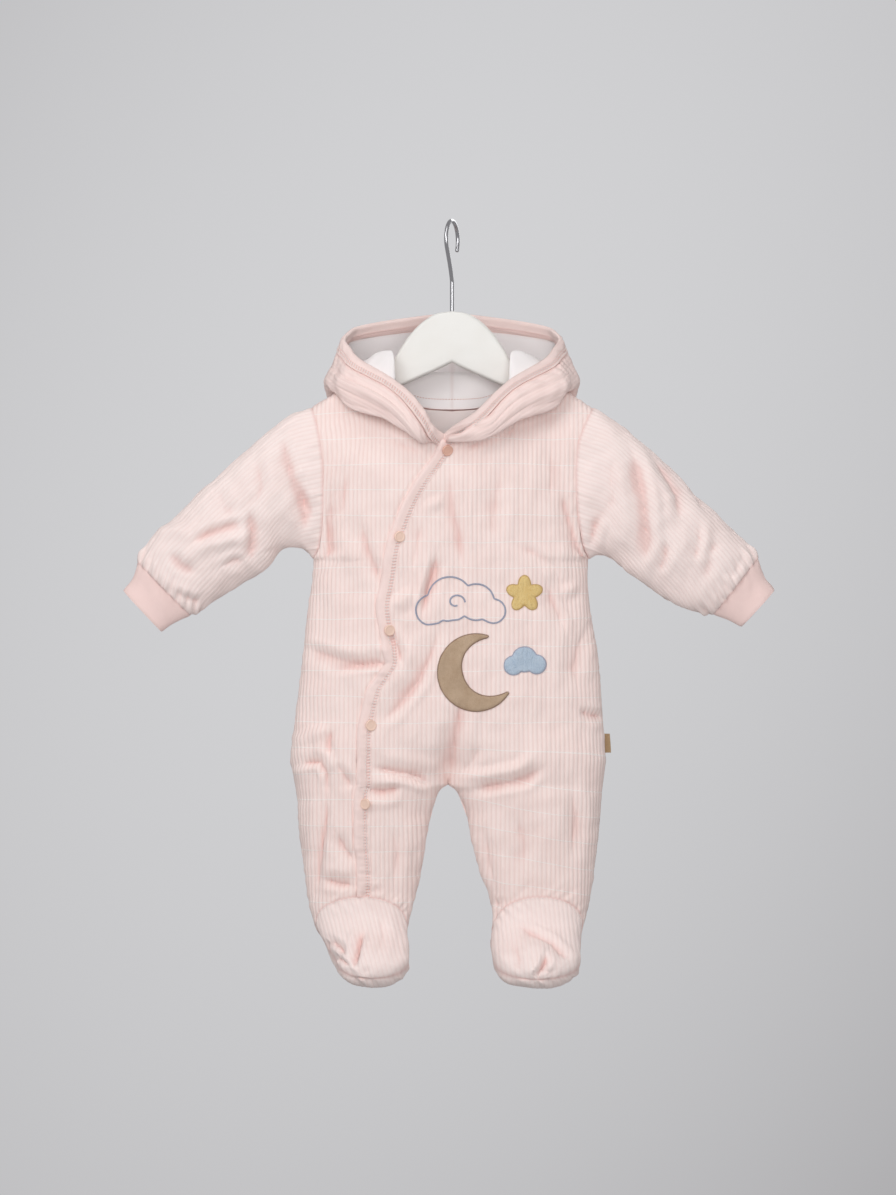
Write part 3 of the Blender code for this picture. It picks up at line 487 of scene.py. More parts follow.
# The hood: profiles from the neck's seam over a fold, down and out, and up to the rim, at stations round
# the neck from the throat to the middle of the back.
HOOD = columns(
    "neck_x face fold_x fold_y fold_z low_x low_y low_z out_x out_y out_z up_x up_y up_z rim_x rim_y rim_z",
    (-6, -1, -6, -37, -213.5, -6, -41, -212, -5, -44, -209.5, -4, -45.5, -206, -4, -45, -201),
    (30, -1, 32, -40, -209.5, 35, -48, -214, 35.5, -53, -205, 32, -50, -194, 28, -43, -183),
    (57, -1, 61, -32, -190, 68, -44, -200, 70, -49, -184, 64, -44, -168, 57, -34, -158),
    (71, -1, 86, -18, -168, 103, -28, -186, 110, -30, -168, 103, -24, -150, 91, -16, -137),
    (74, -1, 89, -10, -151, 111, -14, -171, 121, -13, -164, 113, -9, -143, 103, -4, -124),
    (75, 0, 94, 5, -148, 119, 7, -167, 129, 8, -159, 121, 9, -140, 110, 10, -115),
    (73, 1, 89, 15, -150, 113, 26, -181, 124, 33, -172, 116, 31, -139, 105, 27, -109),
    (64, 1, 76, 26, -155, 104, 46, -198, 116, 58, -180, 108, 53, -140, 94, 43, -105),
    (36, 1, 41, 32, -153, 58, 62, -224, 64, 79, -196, 58, 75, -140, 50, 57, -98),
    (0, 1, 0, 34, -153, 0, 66, -232, 0, 85, -200, 0, 81, -140, 0, 61, -93),
)
RIM_WIDTH = 14.0
NECK_GAP = 0.9


def neck_point(x, facing):
    """The hood's lower end, just above the body's neck seam."""
    face = "front" if facing < 0.5 else "back"
    point = top_edge((x,), face, 0.0)
    return trunk(point, face, 0.0)[0] + np.array((0, 0, NECK_GAP))


def hood_controls():
    """Control points of the whole loop, from the left throat round the back to the right throat."""
    stations = []
    for row in rows_of(HOOD):
        points = [neck_point(row["neck_x"], row["face"])]
        points += [[row[f"{name}_{axis}"] for axis in "xyz"] for name in ("fold", "low", "out", "up", "rim")]
        stations.append(np.array(points))
    mirrored = [points * (-1, 1, 1) for points in stations[1:]]
    tucked = stations[0] + (-12, 5, 0)
    tucked[0] = neck_point(-18.0, -1) + (0, TUCK, 0)
    return np.array([tucked] + mirrored + stations[-2::-1])


def spline(points, at):
    """A smooth curve through points, read at a place counted in points."""
    at = np.clip(np.asarray(at, float), 0, len(points) - 1)
    start = np.minimum(at.astype(int), len(points) - 2)
    padded = np.concatenate([2 * points[:1] - points[1:2], points, 2 * points[-1:] - points[-2:-1]])
    t = (at - start).reshape(at.shape + (1,) * (points.ndim - 1))
    a, b, c, d = (padded[start + k] for k in range(4))
    return b + t * (c - a) / 2 + t**2 * (2 * a - 5 * b + 4 * c - d) / 2 + t**3 * (3 * b - a - 3 * c + d) / 2


def rim_width(length):
    return min(RIM_WIDTH, 0.45 * length)


HANGER_TOP = columns(
    "reach height",
    (0, -88.4), (14, -90.5), (27, -97.5), (38, -107.5), (47, -119), (54, -130), (62, -143), (74, -153.4),
    (90, -160), (108, -169.5), (124, -180),
)
HANGER_UNDER = columns("reach height", (123, -196), (80, -176.5), (40, -158.5), (12, -146), (0, -140))


STEM_TOP = -60.0
HOOK_LEAN = math.radians(-20)  # where the stem meets the hook's round, below the level of its middle
HOOK_PAST = math.radians(35)  # how far the round runs on past half a turn
HANDLE = 16.0  # how gently the stem bends over to it


def hook_route():
    """Up from the board, forward round the front of the rail, over it and down behind."""
    radius = HOOK_INSIDE + WIRE
    points = [(0.0, z) for z in np.linspace(HANGER_TOP["height"][0] + SEAM, STEM_TOP, 5)]
    start = np.array((0.0, STEM_TOP))
    end = np.array((-radius * math.cos(HOOK_LEAN), -HOOK_INSIDE + radius * math.sin(HOOK_LEAN)))
    heading = np.array((math.sin(HOOK_LEAN), math.cos(HOOK_LEAN)))
    for t in np.linspace(0, 1, 11)[1:]:
        a = start + np.array((0.0, HANDLE)) * t
        b = end - heading * HANDLE * (1 - t)
        points.append(tuple(a * (1 - smooth(t)) + b * smooth(t)))
    for angle in np.linspace(HOOK_LEAN, math.pi + HOOK_PAST, 25)[1:]:
        points.append((-radius * math.cos(angle), -HOOK_INSIDE + radius * math.sin(angle)))
    return [(y * math.sin(HOOK_TURN), y * math.cos(HOOK_TURN), z) for y, z in points]


def moon_grid(x, z, radius, thickness, turn):
    """A crescent: rows run from horn to horn."""
    rows = []
    for t in np.linspace(-1, 1, 141):
        angle = turn + t * math.radians(128)
        width = thickness * (1 - t * t) + 1.2
        reaches = np.linspace(radius - width, radius, 17)
        rows.append([(x + r * math.cos(angle), z + r * math.sin(angle)) for r in reaches])
    return np.array(rows)


def star_grid(x, z, radius, points, depth):
    """A rounded star: rows run from its middle out, columns round it."""
    angles = np.linspace(0, 2 * math.pi, 40 * points + 1) + math.pi / 2
    outline = radius * (1 - depth + depth * np.abs(np.cos(points * (angles - math.pi / 2) / 2)) ** 1.5)
    shares = np.linspace(0, 1, 13)[:, None]
    return np.stack([x + shares * outline * np.cos(angles), z + shares * outline * np.sin(angles)], axis=-1)


def cloud_grid(x, z, puffs):
    """A cloud: the outline of round puffs, each given by its place from the middle and its radius."""
    angles = np.linspace(0, 2 * math.pi, 201)
    reach = np.zeros(len(angles))
    for px, pz, radius in puffs:
        along = px * np.cos(angles) + pz * np.sin(angles)
        inside = radius**2 - px**2 - pz**2 + along**2
        reach = np.maximum(reach, np.where(inside > 0, along + np.sqrt(np.maximum(inside, 0)), 0))
    shares = np.linspace(0, 1, 13)[:, None]
    return np.stack([x + shares * reach * np.cos(angles), z + shares * reach * np.sin(angles)], axis=-1)


# Relief: what the cloth does over its plain form, in millimetres outwards.

RIB_PITCH = 4.6
RIB_DEPTH = 0.36
CREASE_DEPTH = 1.4
LEG_MIDDLE = 78.0  # x over the middle of each leg, past which the ribs follow the curve
CROTCH_CALM = 26.0  # how far round the crotch the folds fade
SEAM_CALM = 14.0  # how far from a seam they reach their full depth
PUCKER_REACH = 9.0
PUCKER_LENGTH = 11
SEAM_SINK = 0.7  # how far the cloth is drawn in on a seam
CUT = {}  # each cloth piece's flat width, length and area, gathered as it is made
GRIDS = {}  # and the grids that it was made from


def crease(x, z, line, width, depth, lean=0.0):
    """A trough along a line of (x, z) points, with low lips; a negative depth makes a ridge.

    It fades at its ends, and lean makes one of its sides steeper.
    """
    line = np.array(line, float)
    starts = run_lengths(line, 0)
    nearest = np.full(x.shape, 1e9)
    along = np.zeros(x.shape)
    beside = np.zeros(x.shape)
    for a, b, start in zip(line, line[1:], starts):
        length = np.linalg.norm(b - a)
        way = (b - a) / length
        dx, dz = x - a[0], z - a[1]
        t = np.clip(dx * way[0] + dz * way[1], 0, length)
        across = dx * way[1] - dz * way[0]
        away = np.hypot(dx - t * way[0], dz - t * way[1])
        closer = away < nearest
        nearest = np.where(closer, away, nearest)
        along = np.where(closer, start + t, along)
        beside = np.where(closer, np.sign(across), beside)
    share = along / starts[-1]
    strength = smooth(np.minimum(share, 1 - share) / 0.32) * 0.85 + 0.15
    away = nearest / (width * (1 + lean * beside))
    lips = 0.3 * np.exp(-(((away - 1.9) / 0.75) ** 2))
    trough = 0.6 * np.exp(-(away**2)) + 0.55 * np.exp(-3.2 * away) if depth > 0 else np.exp(-(away**2))
    return depth * strength * (lips - trough)


def creases(x, z, table):
    total = np.zeros(x.shape)
    for line, width, depth, lean in table:
        total += crease(x, z, line, width, CREASE_DEPTH * depth, lean)
    return total


def ripple(a, b, length, seed):
    """Soft unevenness between -1 and 1, with waves of about this length."""
    chance = np.random.default_rng(seed)
    total = np.zeros(np.shape(a))
    for turn in chance.uniform(0, math.pi, 7):
        wave = 2 * math.pi / (length * chance.uniform(0.7, 1.6))
        total = total + np.sin(wave * (a * math.cos(turn) + b * math.sin(turn)) + chance.uniform(0, 6.28))
    return total / 3.2


def ribs(across):
    """Round ribs with narrow valleys, in millimetres outwards."""
    return -RIB_DEPTH * np.sin(math.pi * across / RIB_PITCH) ** 4


def run_lengths(grid, axis):
    """The length along each row or column of a grid, from its start."""
    steps = np.linalg.norm(np.diff(grid, axis=axis), axis=-1)
    first = np.zeros_like(np.take(steps, [0], axis=axis))
    return np.concatenate([first, np.cumsum(steps, axis=axis)], axis=axis)


def seam_distance(grid, sides):
    """How far each point is from the nearest sewn side of its grid."""
    across = run_lengths(grid, 1)
    down = run_lengths(grid, 0)
    away = {"left": across, "right": across[:, -1:] - across, "top": down, "bottom": down[-1:] - down}
    nearest = np.full(grid.shape[:2], 1e3)
    for name, kind in sides.items():
        if kind == "seam":
            nearest = np.minimum(nearest, away[name])
        if kind == "inseam":
            nearest = np.minimum(nearest, away[name] + 60 * (1 - smooth(down / 45)))
    return nearest


def fading(grid, sides):
    """Ribs flatten where they run into a seam."""
    return smooth((seam_distance(grid, sides) + 1) / 6)


def sewn(grid, sides, relief, along, seed, pull=1.0):
    """Relief that dies away at the seams, where the cloth is drawn in with small puckers."""
    away = seam_distance(grid, sides)
    calm = smooth(away / SEAM_CALM)
    uneven = ripple(along, along * 0.37, PUCKER_LENGTH, seed)
    pucker = np.exp(-away / PUCKER_REACH) * smooth(away / 2.5) * uneven
    sink = -SEAM_SINK * np.exp(-away / 2.6)
    return relief * calm + pull * (1.1 * pucker + sink)


def patch(outer, inner, sides, relief, rib, run, fold=None):
    """One grid of a wall. sides says of each side whether it is joined to the next grid, open or a seam."""
    relief = np.broadcast_to(relief, outer.shape[:2])
    deep = -(relief if fold is None else fold)
    # The third mark is painted shade: in deep folds and along the seams' lines the finish deepens the
    # cloth's colour by it.
    shade = smooth((deep - 0.8) / 3.6) + np.exp(-((seam_distance(outer, sides) / 1.5) ** 2))
    marks = np.stack([rib * MM, run * MM, shade], axis=-1)
    return {"outer": outer, "inner": inner, "sides": sides, "relief": relief, "marks": marks}


# Walls


def representatives(points, border):
    """For every point, the first point that is in the same place."""
    same = np.arange(len(points))
    tree = kdtree.KDTree(len(border))
    for place in border:
        tree.insert(points[place], int(place))
    tree.balance()
    for place in border:
        same[place] = min(found[1] for found in tree.find_range(points[place], 0.03))
    return same


def grid_normals(points, quads, backwards):
    """Unit normals of shared points, turned away from the points behind them."""
    normals = np.zeros_like(points)
    corners = points[quads]
    facing = np.cross(corners[:, 2] - corners[:, 0], corners[:, 3] - corners[:, 1])
    towards = (corners - backwards[quads]).sum(axis=1)
    facing *= np.where((facing * towards).sum(axis=1) < 0, -1, 1)[:, None]
    for k in range(4):
        np.add.at(normals, quads[:, k], facing)
    return normals / np.maximum(np.linalg.norm(normals, axis=1, keepdims=True), 1e-9)


def squares(ids):
    return np.stack([ids[:-1, :-1], ids[1:, :-1], ids[1:, 1:], ids[:-1, 1:]], axis=-1).reshape(-1, 4)


def rim_faces(fine, coarse):
    """Triangles between a fine chain of points and a coarse one."""
    every = (len(fine) - 1) // (len(coarse) - 1)
    half = every // 2
    faces = []
    for place in range(len(coarse) - 1):
        start = place * every
        near, far = coarse[place], coarse[place + 1]
        faces += [(fine[start + k], fine[start + k + 1], near) for k in range(half)]
        faces += [(fine[start + k], fine[start + k + 1], far) for k in range(half, every)]
        faces.append((near, fine[start + half], far))
    return faces


def wall(name, patches, finish, every=(2, 4), tiers=((0,),)):
    """One closed piece of cloth: fine grids outside, coarser ones inside, and a rim along the open sides."""
    outer = np.concatenate([one["outer"].reshape(-1, 3) for one in patches])
    inner = np.concatenate([one["inner"].reshape(-1, 3) for one in patches])
    relief = np.concatenate([one["relief"].reshape(-1) for one in patches])
    marks = np.concatenate([one["marks"].reshape(-1, 3) for one in patches])
    grids = []
    first = 0
    for one in patches:
        shape = one["outer"].shape[:2]
        grids.append(np.arange(first, first + shape[0] * shape[1]).reshape(shape))
        first += shape[0] * shape[1]
    border = np.unique(np.concatenate([np.concatenate([g[0], g[-1], g[:, 0], g[:, -1]]) for g in grids]))
    same = representatives(outer, border)
    grids = [same[grid] for grid in grids]
    quads = np.concatenate([squares(grid) for grid in grids])
    normals = grid_normals(outer, quads, inner)
    shaped = outer + normals * relief[:, None]
    lining = inner + normals * np.minimum(relief + RIB_DEPTH, 0.5 * relief + 0.3)[:, None]
    count = len(outer)
    faces = [tuple(quad) for quad in quads.tolist()]
    for one, grid in zip(patches, grids):
        behind = grid[:: every[0], :: every[1]] + count
        faces += [tuple(quad[::-1]) for quad in squares(behind).tolist()]
        chains = {
            "left": (grid[:, 0], behind[:, 0]),
            "right": (grid[:, -1], behind[:, -1]),
            "top": (grid[0], behind[0]),
            "bottom": (grid[-1], behind[-1]),
        }
        for side_name, (fine, coarse) in chains.items():
            if one["sides"][side_name] != "joined":
                faces += rim_faces(fine.tolist(), coarse.tolist())
    faces = [clean for clean in (distinct(face) for face in faces) if len(clean) > 2]
    made = piece(name, np.concatenate([shaped, lining]), faces, finish, np.concatenate([marks, marks]))
    across = [run_lengths(one["outer"], 1)[:, -1].max() for one in patches]
    down = [run_lengths(one["outer"], 0)[-1].max() for one in patches]
    width = max(sum(across[k] for k in tier) for tier in tiers)
    length = sum(max(down[k] for k in tier) for tier in tiers)
    area = sum(grid_area(one["outer"]) for one in patches)
    CUT[name] = (width * MM, length * MM, area * MM * MM)
    GRIDS[name] = [one["outer"] for one in patches]
    return made


def distinct(face):
    return tuple(one for k, one in enumerate(face) if one != face[k - 1])


def grid_area(grid):
    across = grid[:-1, 1:] - grid[:-1, :-1]
    down = grid[1:, :-1] - grid[:-1, :-1]
    return float(np.linalg.norm(np.cross(across, down), axis=-1).sum())


def placed(name, data):
    """A new object in the scene."""
    made = bpy.data.objects.new(name, data)
    bpy.context.scene.collection.objects.link(made)
    return made


def with_vectors(mesh, name, values):
    """A vector for each point, kept with the mesh."""
    layer = mesh.attributes.new(name, "FLOAT_VECTOR", "POINT")
    layer.data.foreach_set("vector", np.asarray(values, np.float32).ravel())


def piece(name, points, faces, finish, marks=None, crisp=60):
    """A closed mesh in millimetres made an object in metres, its faces outwards."""
    used, places = np.unique(np.concatenate([np.array(face) for face in faces]), return_inverse=True)
    renumbered = places.tolist()
    mesh = bpy.data.meshes.new(name)
    rings = []
    start = 0
    for face in faces:
        rings.append(renumbered[start : start + len(face)])
        start += len(face)
    mesh.from_pydata((np.asarray(points)[used] * MM).tolist(), [], rings)
    if marks is not None:
        with_vectors(mesh, "cloth", marks[used])
    work = bmesh.new()
    work.from_mesh(mesh)
    bmesh.ops.recalc_face_normals(work, faces=work.faces)
    work.to_mesh(mesh)
    work.free()
    mesh.materials.append(finish)
    mesh.shade_smooth()
    mesh.set_sharp_from_angle(angle=math.radians(crisp))
    return placed(name, mesh)


# The front's and the back's creases: a line of (x, z) points, half width, depth and lean.
FRONT_CREASES = (
    (((-3, -240), (0, -288), (7, -313), (12, -356)), 8, 2.6, 0.3),
    (((-14, -330), (-20, -352), (-26, -372), (-31, -398)), 5.5, 4.2, -0.35),
    (((-60, -386), (-49, -377), (-36, -368)), 6, -2.2, 0.2),
    (((-91, -300), (-84, -328), (-76, -348), (-71, -364)), 7, 2.6, 0.3),
    (((-12, -404), (-20, -430), (-33, -458), (-54, -484), (-74, -503)), 8, 3.4, 0.3),
    (((-152, -424), (-128, -432), (-104, -439), (-76, -446)), 7, 2.2, 0.2),
    (((-118, -448), (-96, -443), (-72, -441), (-55, -444)), 6, 3.4, -0.3),
    (((92, -358), (101, -380), (109, -398), (115, -414)), 5, 1.8, 0.3),
    (((108, -371), (117, -368), (126, -364)), 5, -1.8, 0.1),
    (((124, -487), (139, -492), (154, -495)), 5, 2.8, 0.2),
    (((108, -270), (116, -296), (126, -322), (136, -342)), 7, 3.2, 0.3),
    (((129, -314), (133, -328), (136, -340)), 4.5, 2.6, -0.2),
    (((-122, -272), (-125, -300), (-123, -326), (-131, -345)), 7, 3.6, -0.3),
    (((-104, -244), (-108, -276), (-112, -306)), 9, 2.0, 0.2),
    (((98, -222), (100, -250), (96, -282)), 10, 1.8, 0.0),
    (((44, -232), (47, -262), (40, -300), (44, -338)), 10, 1.4, 0.2),
    (((-67, -409), (-60, -416), (-52, -431), (-50, -446)), 6, 3.4, 0.2),
    (((140, -400), (128, -420), (122, -446), (126, -468)), 8, 2.0, 0.2),
    (((10, -470), (6, -500), (-1, -540), (-4, -563)), 9, 3.6, 0.1),
    (((30, -520), (20, -538), (6, -553)), 7, 2.0, 0.2),
    (((-84, -543), (-60, -549), (-37, -554), (-12, -566)), 6.5, 3.8, -0.3),
    (((-86, -566), (-68, -568), (-48, -565)), 5.5, 4.2, 0.2),
    (((6, -556), (38, -551), (66, -545), (86, -528)), 6, -2.4, 0.2),
    (((14, -569), (44, -563), (74, -557), (96, -541)), 6, 2.6, -0.2),
    (((64, -590), (72, -622), (70, -655)), 10, 1.8, 0.2),
    (((118, -560), (124, -596), (118, -640)), 9, 2.0, 0.2),
    (((30, -600), (36, -640), (44, -672)), 8, 1.8, 0.0),
    (((40, -683), (48, -681), (58, -677)), 5, 2.8, 0.2),
    (((96, -676), (112, -684), (128, -690)), 6, 2.2, 0.2),
    (((-162, -522), (-142, -513), (-119, -505)), 6, -2.2, 0.2),
    (((-120, -506), (-123, -518), (-122, -534)), 5, 3.0, 0.2),
    (((-116, -538), (-108, -552), (-97, -566)), 6, 2.4, 0.2),
    (((-162, -545), (-147, -541), (-132, -539), (-125, -552), (-124, -574)), 4.5, 3.0, -0.3),
    (((-124, -566), (-125, -592), (-129, -616), (-132, -640), (-136, -672)), 5, 2.8, 0.3),
    (((-115, -610), (-108, -624), (-95, -640)), 6, 2.4, 0.2),
    (((-132, -656), (-112, -661), (-94, -663)), 6, 3.2, -0.2),
    (((-60, -600), (-54, -632), (-58, -662)), 7, 1.8, 0.2),
    (((-92, -676), (-84, -668), (-66, -668)), 5, 2.0, 0.2),
    (((-84, -212), (-60, -219), (-37, -229), (-18, -232)), 3, 1.3, 0.0),
    (((6, -228), (32, -221), (62, -208), (84, -200)), 3, 1.3, 0.0),
    (((-28, -292), (-22, -284), (-13, -281), (-6, -284)), 5, -2.0, 0.2),
    (((-30, -300), (-36, -326), (-40, -352)), 7, 1.8, 0.2),
    (((62, -322), (84, -332), (104, -348), (112, -372)), 5, 1.5, 0.2),
)
BACK_CREASES = (
    (((-118, -262), (-112, -300), (-124, -334)), 8, 3.2, 0.3),
    (((116, -258), (110, -296), (126, -336)), 8, 3.4, -0.3),
    (((-60, -216), (-40, -244), (-34, -290)), 10, 2.0, 0.2),
    (((54, -214), (44, -250), (48, -296)), 10, 2.2, -0.2),
    (((4, -230), (-2, -280), (3, -340), (0, -400)), 9, 2.4, 0.2),
    (((-146, -392), (-108, -404), (-70, -398)), 7, 2.6, 0.3),
    (((146, -384), (112, -398), (84, -412)), 7, 2.4, -0.2),
    (((-92, -420), (-40, -434), (14, -428), (60, -438)), 9, 2.4, 0.2),
    (((-70, -470), (-30, -506), (-8, -548)), 9, 3.6, 0.3),
    (((66, -466), (28, -502), (2, -546)), 9, 3.2, -0.3),
    (((-150, -478), (-116, -494), (-84, -486)), 7, 2.2, 0.2),
    (((152, -470), (120, -480), (96, -500)), 7, 2.4, 0.2),
    (((-4, -500), (-5, -535), (-4, -563)), 8, 3.2, 0.0),
    (((-156, -556), (-120, -566), (-84, -560)), 7, 3.0, 0.3),
    (((-30, -566), (-58, -578), (-80, -604)), 7, 2.6, 0.2),
    (((24, -566), (56, -572), (92, -560)), 7, 2.8, -0.2),
    (((-112, -600), (-104, -636), (-110, -664)), 8, 2.2, 0.2),
    (((96, -596), (104, -632), (98, -668)), 8, 2.4, -0.2),
    (((-132, -676), (-98, -684), (-60, -680)), 6, 3.2, 0.2),
    (((52, -678), (86, -686), (122, -680)), 6, 3.2, 0.2),
)
FINE_FOLDS = {  # the creases, then the lengths and the seeds of two kinds of unevenness
    "front": (FRONT_CREASES, 46, 3, 17, 4),
    "back": (BACK_CREASES, 50, 7, 18, 8),
}


def body_folds(face, x, z):
    """The creases and the padding's unevenness, the same for every layer of a face."""
    table, long, first_seed, short, second_seed = FINE_FOLDS[face]
    folds = creases(x, z, table) + 0.9 * ripple(x, z, long, first_seed)
    return (folds + 0.35 * ripple(x, z, short, second_seed)) * from_crotch(x, z)


def from_crotch(x, z):
    """0 at the crotch, where front and back meet, and 1 away from it."""
    return smooth(np.hypot(x - CROTCH_X, z - CROTCH_Z) / CROTCH_CALM)


def rib_place(grid):
    """The place across the ribs: x, and past the middle of each leg the length along the curve."""
    x = grid[..., 0]
    steps = np.hypot(np.diff(x, axis=1), np.diff(grid[..., 1], axis=1))
    extra = steps - np.abs(np.diff(x, axis=1))
    between = (x[:, 1:] + x[:, :-1]) / 2
    none = np.zeros((len(x), 1))
    rightwards = np.concatenate([none, np.cumsum(extra * (between > LEG_MIDDLE), axis=1)], axis=1)
    leftwards = np.cumsum((extra * (between < -LEG_MIDDLE))[:, ::-1], axis=1)[:, ::-1]
    return x + rightwards - np.concatenate([leftwards, none], axis=1)


def tuck_place(x, z):
    """The place down the cloth, by which its tucks lie: they slope on the right leg."""
    slope = 0.16 * np.maximum(x - 20, 0) * smooth((CROTCH_Z - z + 60) / 70)
    return 1.2 * ripple(x, z, 90, 12) - z - slope


def body_patch(make, face, kinds, seed):
    """A grid of the trunk or a leg: make gives its points at a depth inside the outer face."""
    outer = make(0.0)
    sides = sides_of(kinds)
    x, z = outer[..., 0], outer[..., 2]
    rib = rib_place(outer)
    run = tuck_place(x, z)
    folds = sewn(outer, sides, body_folds(face, x, z), run + x, seed)
    return patch(outer, make(CLOTH), sides, folds + ribs(rib), rib, run, folds)


def on_leg(name, shares_at, face="front", end=VAMP_TOP_ALONG, sunk=0.0):
    """A stretch of a panel from the crotch to the foot's arch, by its depth."""
    return lambda inset: leg_wall(name, shares_at, face, sunk + inset, end)


def sides_of(kinds):
    """What each side of a grid is, from words for its left, right, top and bottom."""
    return dict(zip(("left", "right", "top", "bottom"), kinds.split()))


# The cloth's pieces


def stretch(tops, shares, left_edge, right_edge, sunk=0.0):
    """A stretch of the front above the crotch, by its depth, between edges found from its top corners."""

    def at(inset):
        top = top_edge(tops, "front", inset)
        left = left_edge(top[0], inset)
        right = right_edge(top[-1], inset)
        return trunk(block(tops, shares, left, right, "front", inset), "front", inset + sunk)

    return at


def falls(x_at):
    """An edge down the front, from whichever corner it is given."""
    return lambda corner, inset: falling(corner, x_at, inset)


def seam_at(name):
    return lambda corner, inset: side_edge(name, inset)


def front_overlap(finish):
    edge = falls(lambda z: wrap_x(z) + BAND_WIDTH + CURVED_SEAM)
    strip = stretch(OVER_TOP, OVER_SHARES, edge, falls(middle_x))
    main = stretch(RIGHT_TOP, RIGHT_SHARES, falls(middle_x), seam_at("right"))
    patches = [
        body_patch(strip, "front", "open joined seam joined", 21),
        body_patch(main, "front", "joined seam seam joined", 21),
        body_patch(on_leg("left", over_shares), "front", "open inseam joined seam", 22),
        body_patch(on_leg("right", lambda along: RIGHT_SHARES), "front", "inseam seam joined seam", 23),
    ]
    return wall("front_overlap_cloth", patches, finish, tiers=((0, 1), (2, 3)))


EDGE_SINK = 1.4  # how far the underlap has sunk where the overlap's edge lies on it


def front_underlap(finish):
    sinking = EDGE_SINK * smooth((UNDER_SHARES - 0.94) / 0.06)
    going_under = EDGE_SINK + (TUCK - EDGE_SINK) * smooth(HIDDEN_STEPS / 4)
    edge, beyond = falls(wrap_x), falls(lambda z: wrap_x(z) + OVERLAP)
    seen = stretch(UNDER_TOP, UNDER_SHARES, seam_at("left"), edge, sinking)
    hidden = stretch(UNDER_TOP[-1] + HIDDEN_STEPS, HIDDEN_STEPS / OVERLAP, edge, beyond, going_under)
    patches = [
        body_patch(seen, "front", "seam joined seam joined", 24),
        body_patch(hidden, "front", "joined open open joined", 24),
        body_patch(on_leg("left", under_shares, sunk=sinking), "front", "seam joined joined seam", 25),
        body_patch(on_leg("left", hidden_shares, sunk=going_under), "front", "joined open joined open", 25),
    ]
    return wall("front_underlap_cloth", patches, finish, tiers=((0, 1), (2, 3)))


BAND_STEPS = np.linspace(0, 1, 13)
BAND_LAP = BAND_WIDTH + 0.6
BRIDGE_ROW = 6  # the row of the binding on which the hood's rim runs out
BAND_STITCHES = (9.7, 12.2)  # how far the rows of stitches lie from the binding's edge
BAND_STITCH_COLUMNS = (8, 10)  # the columns of its grid that lie there


def grooves(away, rows):
    return sum(np.exp(-((away - row) ** 2) / 0.9) for row in rows)


def band_relief(away, run, z):
    """A rolled edge, two rows of stitches drawn in, and crosswise puckers, stronger lower down."""
    roll = 1.3 * np.exp(-(((away - 3.6) / 3.0) ** 2)) - 0.7 * grooves(away, BAND_STITCHES)
    strength = 0.12 + 0.42 * smooth((-400 - z) / 60)
    return roll + strength * smooth(away / 3) * ripple(run, away * 0.25, 7.5, 31)


def trunk_band(inset):
    edge = falls(lambda z: wrap_x(z) + BAND_LAP)
    return stretch(WRAP["x"][0] + BAND_LAP * BAND_STEPS, BAND_STEPS, falls(wrap_x), edge)(inset)


def wrap_binding(finish):
    leg_band = on_leg("left", lambda along: wrap_share(along, BAND_LAP * BAND_STEPS))
    stretches = (
        (trunk_band, BRIDGE_ROW, WRAP["height"][0], "open open open joined"),
        (leg_band, 0, CROTCH_Z, "open open joined seam"),
    )
    patches = []
    for make, first, start, kinds in stretches:
        outer, inner = rounded(make(CLOTH - BAND)[first:], make(CLOTH)[first:], "left", 3)
        x, z = outer[..., 0], outer[..., 2]
        away = np.broadcast_to(BAND_STEPS, x.shape) * BAND_LAP
        relief = body_folds("front", x, z) + band_relief(away, -z, z)
        run = run_lengths(outer, 0) - start
        # Painted shade in the stitched grooves: this fold mark only deepens their colour.
        groove_painted_shade = -2.6 * grooves(away, BAND_STITCHES)
        patches.append(patch(outer, inner, sides_of(kinds), relief, away, run, groove_painted_shade))
    return wall("wrap_binding_cloth", patches, finish, (1, 2), ((0,), (1,)))


def rounded(outer, inner, side_name, count):
    """Both faces brought together at one side, so that it turns over as a soft edge."""
    flip = {"left": lambda g: g, "right": lambda g: g[:, ::-1]}
    flip["top"] = lambda g: g.transpose(1, 0, 2)
    flip["bottom"] = lambda g: g[::-1].transpose(1, 0, 2)
    outer, inner = outer.copy(), inner.copy()
    one, other = flip[side_name](outer), flip[side_name](inner)
    for place in range(count):
        turn = 1 - (place + 0.35) / count
        share = (1 - math.sqrt(1 - turn * turn)) / 2
        near, far = one[:, place].copy(), other[:, place].copy()
        one[:, place] = near + (far - near) * share
        other[:, place] = far + (near - far) * share
    return outer, inner


def on_back(name):
    return lambda inset: back_half(name, inset)


def back(finish):
    patches = []
    halves = (("left", "seam joined", "seam inseam"), ("right", "joined seam", "inseam seam"))
    for name, above, below in halves:
        leg_half = on_leg(name, lambda along: BACK_SHARES, "back", HEEL_ALONG)
        patches.append(body_patch(on_back(name), "back", f"{above} seam joined", 41))
        patches.append(body_patch(leg_half, "back", f"{below} joined seam", 42))
    return wall("back_cloth", patches, finish, tiers=((0, 2), (1, 3)))


LINING_END_Z = -258  # how far down the back its lining reaches


def back_neck_lining(finish):
    """Its seen face is the one towards the hollow."""
    depth = CLOTH + CURVED_SEAM
    rows = int(np.searchsorted(-TORSO_ROWS, -LINING_END_Z))
    rows -= rows % 2
    seen = {"left": np.s_[: rows + 1, 96:], "right": np.s_[: rows + 1, :37]}
    kinds = {"left": "open joined open open", "right": "joined open open open"}
    patches = []
    for name, part in seen.items():
        grid = back_half(name, depth + LINING)[part]
        behind = back_half(name, depth)[part]
        relief = 0.5 * ripple(grid[..., 0], grid[..., 2], 30, 51)
        patches.append(patch(grid, behind, sides_of(kinds[name]), relief, grid[..., 0], -grid[..., 2]))
    return wall("back_neck_lining_cloth", patches, finish, tiers=((0, 1),))


